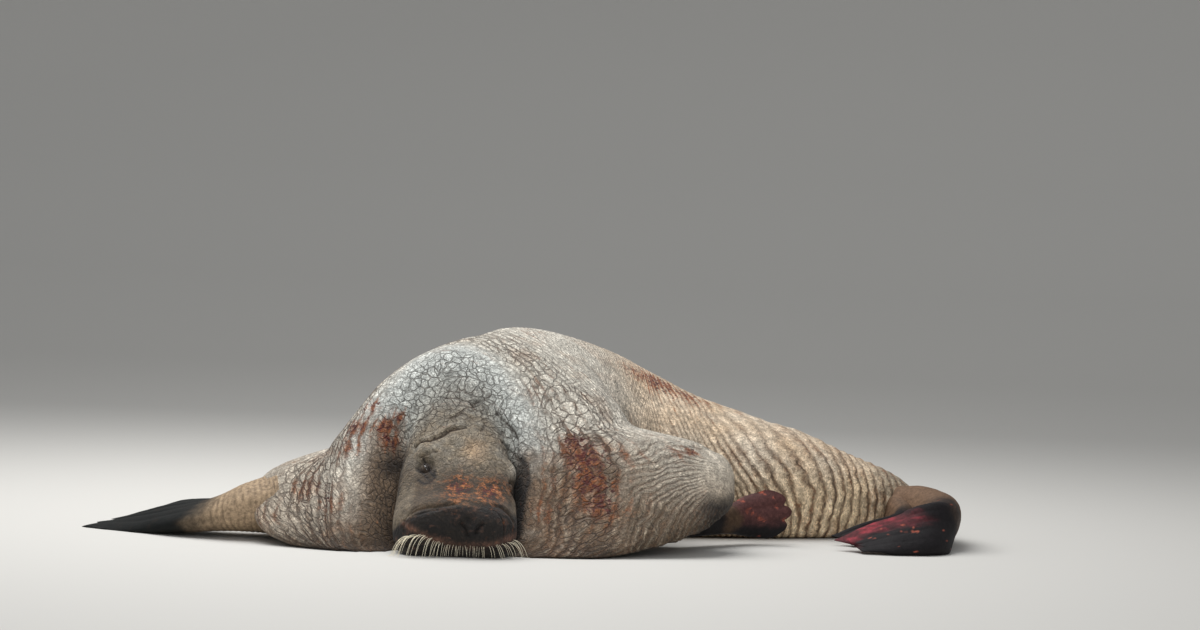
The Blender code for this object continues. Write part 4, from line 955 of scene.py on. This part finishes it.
# %% Flipper surfaces
FLIPPERS = {
    "fore_flipper_right": (
        ((-0.545, 0.32, 0.100), (-0.63, 0.31, 0.086), (-0.75, 0.33, 0.060), (-0.90, 0.41, 0.040),
         (-1.06, 0.50, 0.016)),
        ((0, -1, 0), (0, -1, 0.05), (-0.3, -1, -0.16), (-0.45, -0.9, -0.32), (-0.5, -0.8, -0.12)),
        (0.13, 0.125, 0.115, 0.120, 0.11), (0.095, 0.075, 0.046, 0.026, 0.006), 5, 0.05, 0.05, 0),
    "fore_flipper_left": (
        ((0.54, 0.385, 0.095), (0.64, 0.43, 0.082), (0.74, 0.515, 0.074), (0.835, 0.585, 0.086),
         (0.930, 0.600, 0.097)),
        ((0, 0, 1), (0, 0, 1), (0, 0.1, 1), (0, 0.1, 1), (0, 0.1, 1)),
        (0.060, 0.052, 0.042, 0.060, 0.075), (0.050, 0.045, 0.036, 0.028, 0.009), 3, 0.03, 0.004, -0.05),
    "hind_flipper_left": (
        ((1.30, 1.00, 0.088), (1.38, 0.90, 0.088), (1.415, 0.77, 0.083), (1.408, 0.62, 0.074),
         (1.335, 0.505, 0.058), (1.23, 0.472, 0.042), (1.125, 0.455, 0.022)),
        ((0, 0.3, 1), (0.1, 0.3, 1), (0.2, 0.3, 1), (0.2, 0.5, 0.85), (0, 0.82, 0.57), (0, 0.88, 0.47),
         (0, 0.94, 0.34)),
        (0.070, 0.080, 0.077, 0.078, 0.092, 0.084, 0.056),
        (0.075, 0.075, 0.070, 0.050, 0.036, 0.024, 0.008), 5, 0.014, 0.03, 0.04),
    "hind_flipper_right": (
        ((1.20, 1.04, 0.085), (1.285, 0.965, 0.080), (1.318, 0.85, 0.062), (1.285, 0.735, 0.046),
         (1.205, 0.66, 0.036), (1.115, 0.62, 0.020)),
        ((0, 0.4, 1), (0, 0.4, 1), (0.3, 0.4, 1), (0.2, 0.6, 0.8), (0, 0.77, 0.64), (0, 0.9, 0.43)),
        (0.060, 0.070, 0.058, 0.050, 0.048, 0.036), (0.065, 0.055, 0.042, 0.028, 0.018, 0.007),
        5, 0.014, 0.02, 0.03),
}


def flipper(path, across, widths, thicknesses, digits, lobe_depth, lean, fork, steps=110, count=112):
    """Rings along a path: half width times |cos|^0.9, half thickness times |sin|^0.9, and each
    digit a half circle over its share of the width that moves the end forward."""
    places = np.linspace(0, 1, len(path))
    share = np.linspace(0, 1, steps)
    middle = np.stack([through(places, [p[i] for p in path], share) for i in range(3)], -1)
    ahead = unit(np.gradient(middle, axis=0))
    wide = np.stack([through(places, [p[i] for p in across], share) for i in range(3)], -1)
    wide = unit(wide - (wide * ahead).sum(-1, keepdims=True) * ahead)
    thick = np.cross(wide, ahead)
    half_width = through(places, widths, share)[:, None] - INSET
    half_thick = through(places, thicknesses, share)[:, None] - INSET
    angle = np.linspace(0, 2 * math.pi, count, endpoint=False)[None]
    side = np.sign(np.cos(angle)) * np.abs(np.cos(angle)) ** 0.9
    face = np.sign(np.sin(angle)) * np.abs(np.sin(angle)) ** 0.9
    grown = ramp(share, 0.45, 1.0)[:, None]
    phase = ((side + 1) / 2 * digits) % 1.0 * 2 - 1
    lobe = np.sqrt(np.clip(1 - phase ** 2, 0, 1))
    reach = grown * (lobe_depth * (lobe - 1) + lean * side + fork * (side ** 2 - 0.5))
    half_thick = half_thick * (1 + (3 * lobe_depth + 0.05) * grown * (lobe - 0.6))
    points = (middle[:, None] + wide[:, None] * (half_width * side)[..., None]
              + thick[:, None] * (half_thick * face)[..., None] + ahead[:, None] * reach[..., None])
    full = np.ones(points.shape[:-1])
    return points, share[:, None] * full, lobe * full, side * full


def closed(name, grid):
    """A closed object from rings, with a point to close each end."""
    index = np.arange(grid[..., 0].size).reshape(grid.shape[:2])
    points = np.concatenate([grid.reshape(-1, 3), grid[0].mean(0)[None], grid[-1].mean(0)[None]])
    start = np.stack([np.full(index.shape[1], index.size), index[0], np.roll(index[0], -1)], -1)
    end = np.stack([np.full(index.shape[1], index.size + 1), np.roll(index[-1], -1), index[-1]], -1)
    faces = np.concatenate([ring_faces(index), start, end])
    corners = points[faces]
    if (corners[:, 0] * np.cross(corners[:, 1], corners[:, 2])).sum() < 0:
        faces = faces[:, ::-1]
    return make_mesh(name, points, faces)


FLIPPER_BROWN, FLIPPER_BLACK, MAROON = "#6b5442", "#161315", "#5a2429"
CORAL, CRIMSON, HAND_GREY = "#b8604a", "#9c3540", "#090c0b"


def flipper_colour(name, grid, share, side):
    """Brown or tan at the root and nearly black beyond, with crimson streaks and coral flecks on
    the bare soles.  The forearm of the left fore flipper, in the shade under the elbow, is painted
    nearly black as painted shade."""
    fine = layered(grid, 0.04, 91)
    if name == "fore_flipper_right":
        colour = blend(linear(FAWN) * np.ones(grid.shape), HAND_GREY, ramp(share + 0.07 * fine, 0.36, 0.58))
        return blend(colour, GROOVE, 0.5 * ramp(layered(grid, 0.02, 97), 0.2, 0.5) * (1 - share))
    if name == "fore_flipper_left":
        colour = blend(linear("#4a392b") * np.ones(grid.shape), "#503230", ramp(share + 0.1 * fine, 0.55, 0.66))
        # Painted shade: the forearm, which lies in the shade under the elbow, is painted nearly black.
        colour = blend(colour, FLIPPER_BLACK, 0.97 * (1 - ramp(grid[..., 0] + 0.01 * fine, 0.735, 0.765)))
        colour = blend(colour, FLIPPER_BLACK, ramp(-side + 0.5 * fine, 0.0, 0.7) * ramp(share, 0.5, 0.6))
        flecks = ramp(layered(grid, 0.026, 95), 0.36, 0.50) * ramp(share, 0.60, 0.72)
        return blend(colour, CORAL, 0.7 * flecks)
    colour = blend(linear(FLIPPER_BROWN) * np.ones(grid.shape), FLIPPER_BLACK, ramp(share + 0.08 * fine, 0.30, 0.56))
    if name == "hind_flipper_right":
        return colour
    streaked = layered(grid * np.array((0.4, 1.0, 1.0)), 0.016, 95)
    upper = ramp(side + 0.35 * layered(grid, 0.1, 99), 0.0, 0.6) * ramp(share + 0.05 * fine, 0.60, 0.74)
    colour = blend(colour, MAROON, 0.85 * upper)
    colour = blend(colour, CRIMSON, 0.70 * upper * ramp(streaked, 0.10, 0.42))
    flecks = ramp(layered(grid * np.array((0.6, 1.0, 1.0)), 0.014, 96), 0.50, 0.58) * ramp(share, 0.42, 0.55)
    return blend(colour, CORAL, 0.6 * flecks)


for name, sizes in FLIPPERS.items():
    grid, share, lobe, side = flipper(*sizes)
    normal = outward(grid)
    if ((grid - grid.mean(1, keepdims=True)) * normal).sum(-1).mean() < 0:
        normal = -normal
    wrinkle = layered(grid, 0.02, 81) * 0.0006 + noise(grid, 0.05, 85) * 0.0015
    rolls = (roll(share * 30 + noise(grid, 0.08, 87)) - 1) * 0.0025 * (1 - ramp(share, 0.40, 0.62))
    rolls = rolls * (name == "fore_flipper_right")
    grid = grid + normal * (wrinkle - 0.0015 + rolls)[..., None]
    grid[..., 2] = np.maximum(grid[..., 2], 0.0005)
    thing = closed(name + "_skin", grid)
    colour = flipper_colour(name, grid, share, side)
    # Painted shade in the grooves between the forearm rolls.
    colour = blend(colour, GROOVE, 0.5 * np.clip(-rolls / 0.002, 0, 1))
    ends = np.stack([colour[0].mean(0), colour[-1].mean(0)])
    paint(thing, "coat", np.concatenate([colour.reshape(-1, 3), ends]))
    thing.data.materials.append(bare)
    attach(thing, "root")
    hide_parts(name)
    print(thing.name, len(thing.data.polygons))

# %% [markdown]
# ## Eyes
# Small dark balls that the lids almost cover.  A ball is better than a painted spot, because
# it catches a glint of light in the slit.

# %% Eyes
eye_wet, tree, shader = new_material("wet_eye_dark")
shader.inputs["Base Color"].default_value = (*linear("#120c0a"), 1)
shader.inputs["Roughness"].default_value = 0.08
shader.inputs["Coat Weight"].default_value = 0.6
for side, (middle, ahead, level, above) in EYE_PLACES.items():
    polar = np.linspace(0, math.pi, 34)[1:-1, None]
    angle = np.linspace(0, 2 * math.pi, 48, endpoint=False)[None]
    grid = middle + EYE_RADIUS * (np.cos(polar)[..., None] * ahead
                                  + (np.sin(polar) * np.cos(angle))[..., None] * level
                                  + (np.sin(polar) * np.sin(angle))[..., None] * above)
    index = np.arange(grid[..., 0].size).reshape(grid.shape[:2])
    ball = closed("eye_" + side + "_ball", grid)
    ball.data.materials.append(eye_wet)
    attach(ball, "root")
    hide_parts("eye_" + side)

# %% [markdown]
# ## Whiskers
# Each pad carries rows of stiff, pale bristles: short by the nose, long at the corner of the
# mouth, and bent down to the floor.  One small tapered tube, bent to its own line, is made 64 times.

# %% Whiskers
# The line along the upper lip that the bristles grow from, from the right corner to the left.
LIP = np.array(((-.152, -.031, .052), (-.129, -.047, .058), (-.101, -.054, .060),
                (-.076, -.047, .045), (-.048, -.038, .035), (-.021, -.035, .031), (.023, -.034, .030),
                (.065, -.039, .032), (.103, -.027, .038), (.135, .000, .046), (.146, .020, .050)))
WHISKERS = 64
random = np.random.default_rng(7)
pad_rows = np.linspace(0.03, 0.24, 80)
pads = body(pad_rows, shares_at(pad_rows, 480))
pads = pads + outward(pads) * face_forms(pads, pad_rows[:, None])[..., None]
pads_out = outward(pads)
lip_length = np.concatenate([[0], np.cumsum(np.linalg.norm(np.diff(LIP, axis=0), axis=1))])
tubes = []
for number in range(WHISKERS):
    share = ((number + random.random()) / WHISKERS) ** 1.35 * lip_length[-1]
    root = np.array([np.interp(share, lip_length, LIP[:, k]) for k in range(3)])
    outer = np.clip(abs(root[0] - 0.02) / 0.15, 0, 1) ** 1.6
    root = root + np.array((0, 0, 0.006 * random.random() - 0.002))
    spot = np.unravel_index(np.argmin(np.linalg.norm(pads - root, axis=-1)), pads.shape[:2])
    side = np.sign(root[0] - 0.02) * outer
    ahead = unit(pads_out[spot] * (0.5 + 0.3 * outer) + np.array((0.95 * side, -0.1, 0.80 * outer - 0.5))
                 + 0.17 * random.normal(size=3))
    length = (0.027 + 0.060 * outer) * (0.70 + 0.50 * random.random())
    curve = np.linspace(0, 1, 10)[:, None]
    line = pads[spot] - ahead * 0.003 + ahead * (length * curve * (1 - 0.35 * curve))
    line = line + np.array((0, 0, -1.0)) * (length * (0.7 + 0.25 * outer) * curve ** 2)
    line[:, 2] = np.maximum(line[:, 2], 0.002 + 0.004 * random.random())
    forward = unit(np.gradient(line, axis=0))
    across = unit(np.cross(forward, (0.0, 0.3, 1.0)))
    third = np.cross(forward, across)
    radius = ((0.0005 + 0.0003 * outer) * (1 - 0.75 * curve ** 1.5))[..., None]
    turn = np.linspace(0, 2 * math.pi, 5, endpoint=False)[None, :, None]
    tubes.append(line[:, None] + radius * (np.cos(turn) * across[:, None] + np.sin(turn) * third[:, None]))
tubes = np.array(tubes)
number, rings, sides = tubes.shape[:3]
ends = np.stack([tubes[:, 0].mean(1), tubes[:, -1].mean(1)], 1)
per = rings * sides
index = np.arange(per).reshape(rings, sides)
one = np.concatenate([ring_faces(index),
                      np.stack([np.full(sides, per), index[0], np.roll(index[0], -1)], -1),
                      np.stack([np.full(sides, per + 1), np.roll(index[-1], -1), index[-1]], -1)])
points = np.concatenate([tubes.reshape(number, per, 3), ends], 1)
corners = points[0][one]
if (corners[:, 0] * np.cross(corners[:, 1], corners[:, 2])).sum() < 0:
    one = one[:, ::-1]
faces = (one[None] + (np.arange(number) * (per + 2))[:, None, None]).reshape(-1, 3)
whiskers = make_mesh("whiskers", points.reshape(-1, 3), faces)
bristle, tree, shader = new_material("horn_bristle")
shader.inputs["Base Color"].default_value = (*linear("#efe5cb"), 1)
shader.inputs["Roughness"].default_value = 0.42
whiskers.data.materials.append(bristle)
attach(whiskers, "root")
print("whiskers", number, "triangles", len(faces))

# %% [markdown]
# ## Studio
# A plain pale floor that turns up into a wall, one large soft light from above and a weak one
# from the front, and the camera where the photographer lay: far off, low, with a long lens.

# %% Floor, lights and camera
sweep_y = np.array([-14.0, 6.0, 8.0, 9.5, 10.5, 11.2, 11.6, 11.8, 11.8])
sweep_z = np.array([0.0, 0.0, 0.15, 0.6, 1.3, 2.3, 3.6, 5.5, 12.0]) - 0.0004
sweep_x = np.array([-16.0, 16.0])
grid = np.stack([np.broadcast_to(sweep_x[None], (9, 2)), np.broadcast_to(sweep_y[:, None], (9, 2)),
                 np.broadcast_to(sweep_z[:, None], (9, 2))], -1).reshape(-1, 3)
quads = np.array([(2 * i, 2 * i + 1, 2 * i + 3, 2 * i + 2) for i in range(8)])
floor = make_mesh("floor", grid, quads)
paper, tree, shader = new_material("matt_paper_sweep")
shader.inputs["Base Color"].default_value = (*linear("#c9c7c2"), 1)
shader.inputs["Roughness"].default_value = 0.9
floor.data.materials.append(paper)


def light(name, place, aim, size, power):
    """A square area light at a place, turned to face its aim."""
    lamp = bpy.data.lights.new(name, "AREA")
    lamp.shape = "RECTANGLE"
    lamp.size, lamp.size_y = size
    lamp.energy = power
    thing = bpy.data.objects.new(name, lamp)
    thing.location = place
    ahead = unit(np.array(aim, float) - np.array(place, float))
    thing.rotation_euler = Vector(ahead).to_track_quat("-Z", "Y").to_euler()
    bpy.context.scene.collection.objects.link(thing)


light("overhead", (-0.9, 0.4, 3.6), (0, 0, 0.2), (4.0, 3.5), 190)
light("front", (0.4, -5.5, 2.2), (0.1, 0, 0.2), (3.0, 2.0), 60)
world = bpy.data.worlds.new("studio")
world.use_nodes = True
world.node_tree.nodes["Background"].inputs["Color"].default_value = (0.95, 0.97, 1.0, 1)
world.node_tree.nodes["Background"].inputs["Strength"].default_value = 0.42
bpy.context.scene.world = world
bpy.context.scene.view_settings.view_transform = "Standard"

LENS, PITCH, ROLL = 85.0, 1.557, 2.0          # millimetres and degrees
camera = bpy.data.objects.new("camera", bpy.data.cameras.new("camera"))
camera.data.lens = LENS
camera.data.sensor_width = 36.0
camera.data.clip_end = 100.0
camera.location = (0.36 + SHIFT[0], -7.87 + SHIFT[1], 0.9)
camera.rotation_mode = "QUATERNION"
aimed = Euler((math.radians(90.0 - PITCH), 0, 0)).to_quaternion()
camera.rotation_quaternion = aimed @ Quaternion((0, 0, 1), math.radians(ROLL))
bpy.context.scene.collection.objects.link(camera)
bpy.context.scene.camera = camera
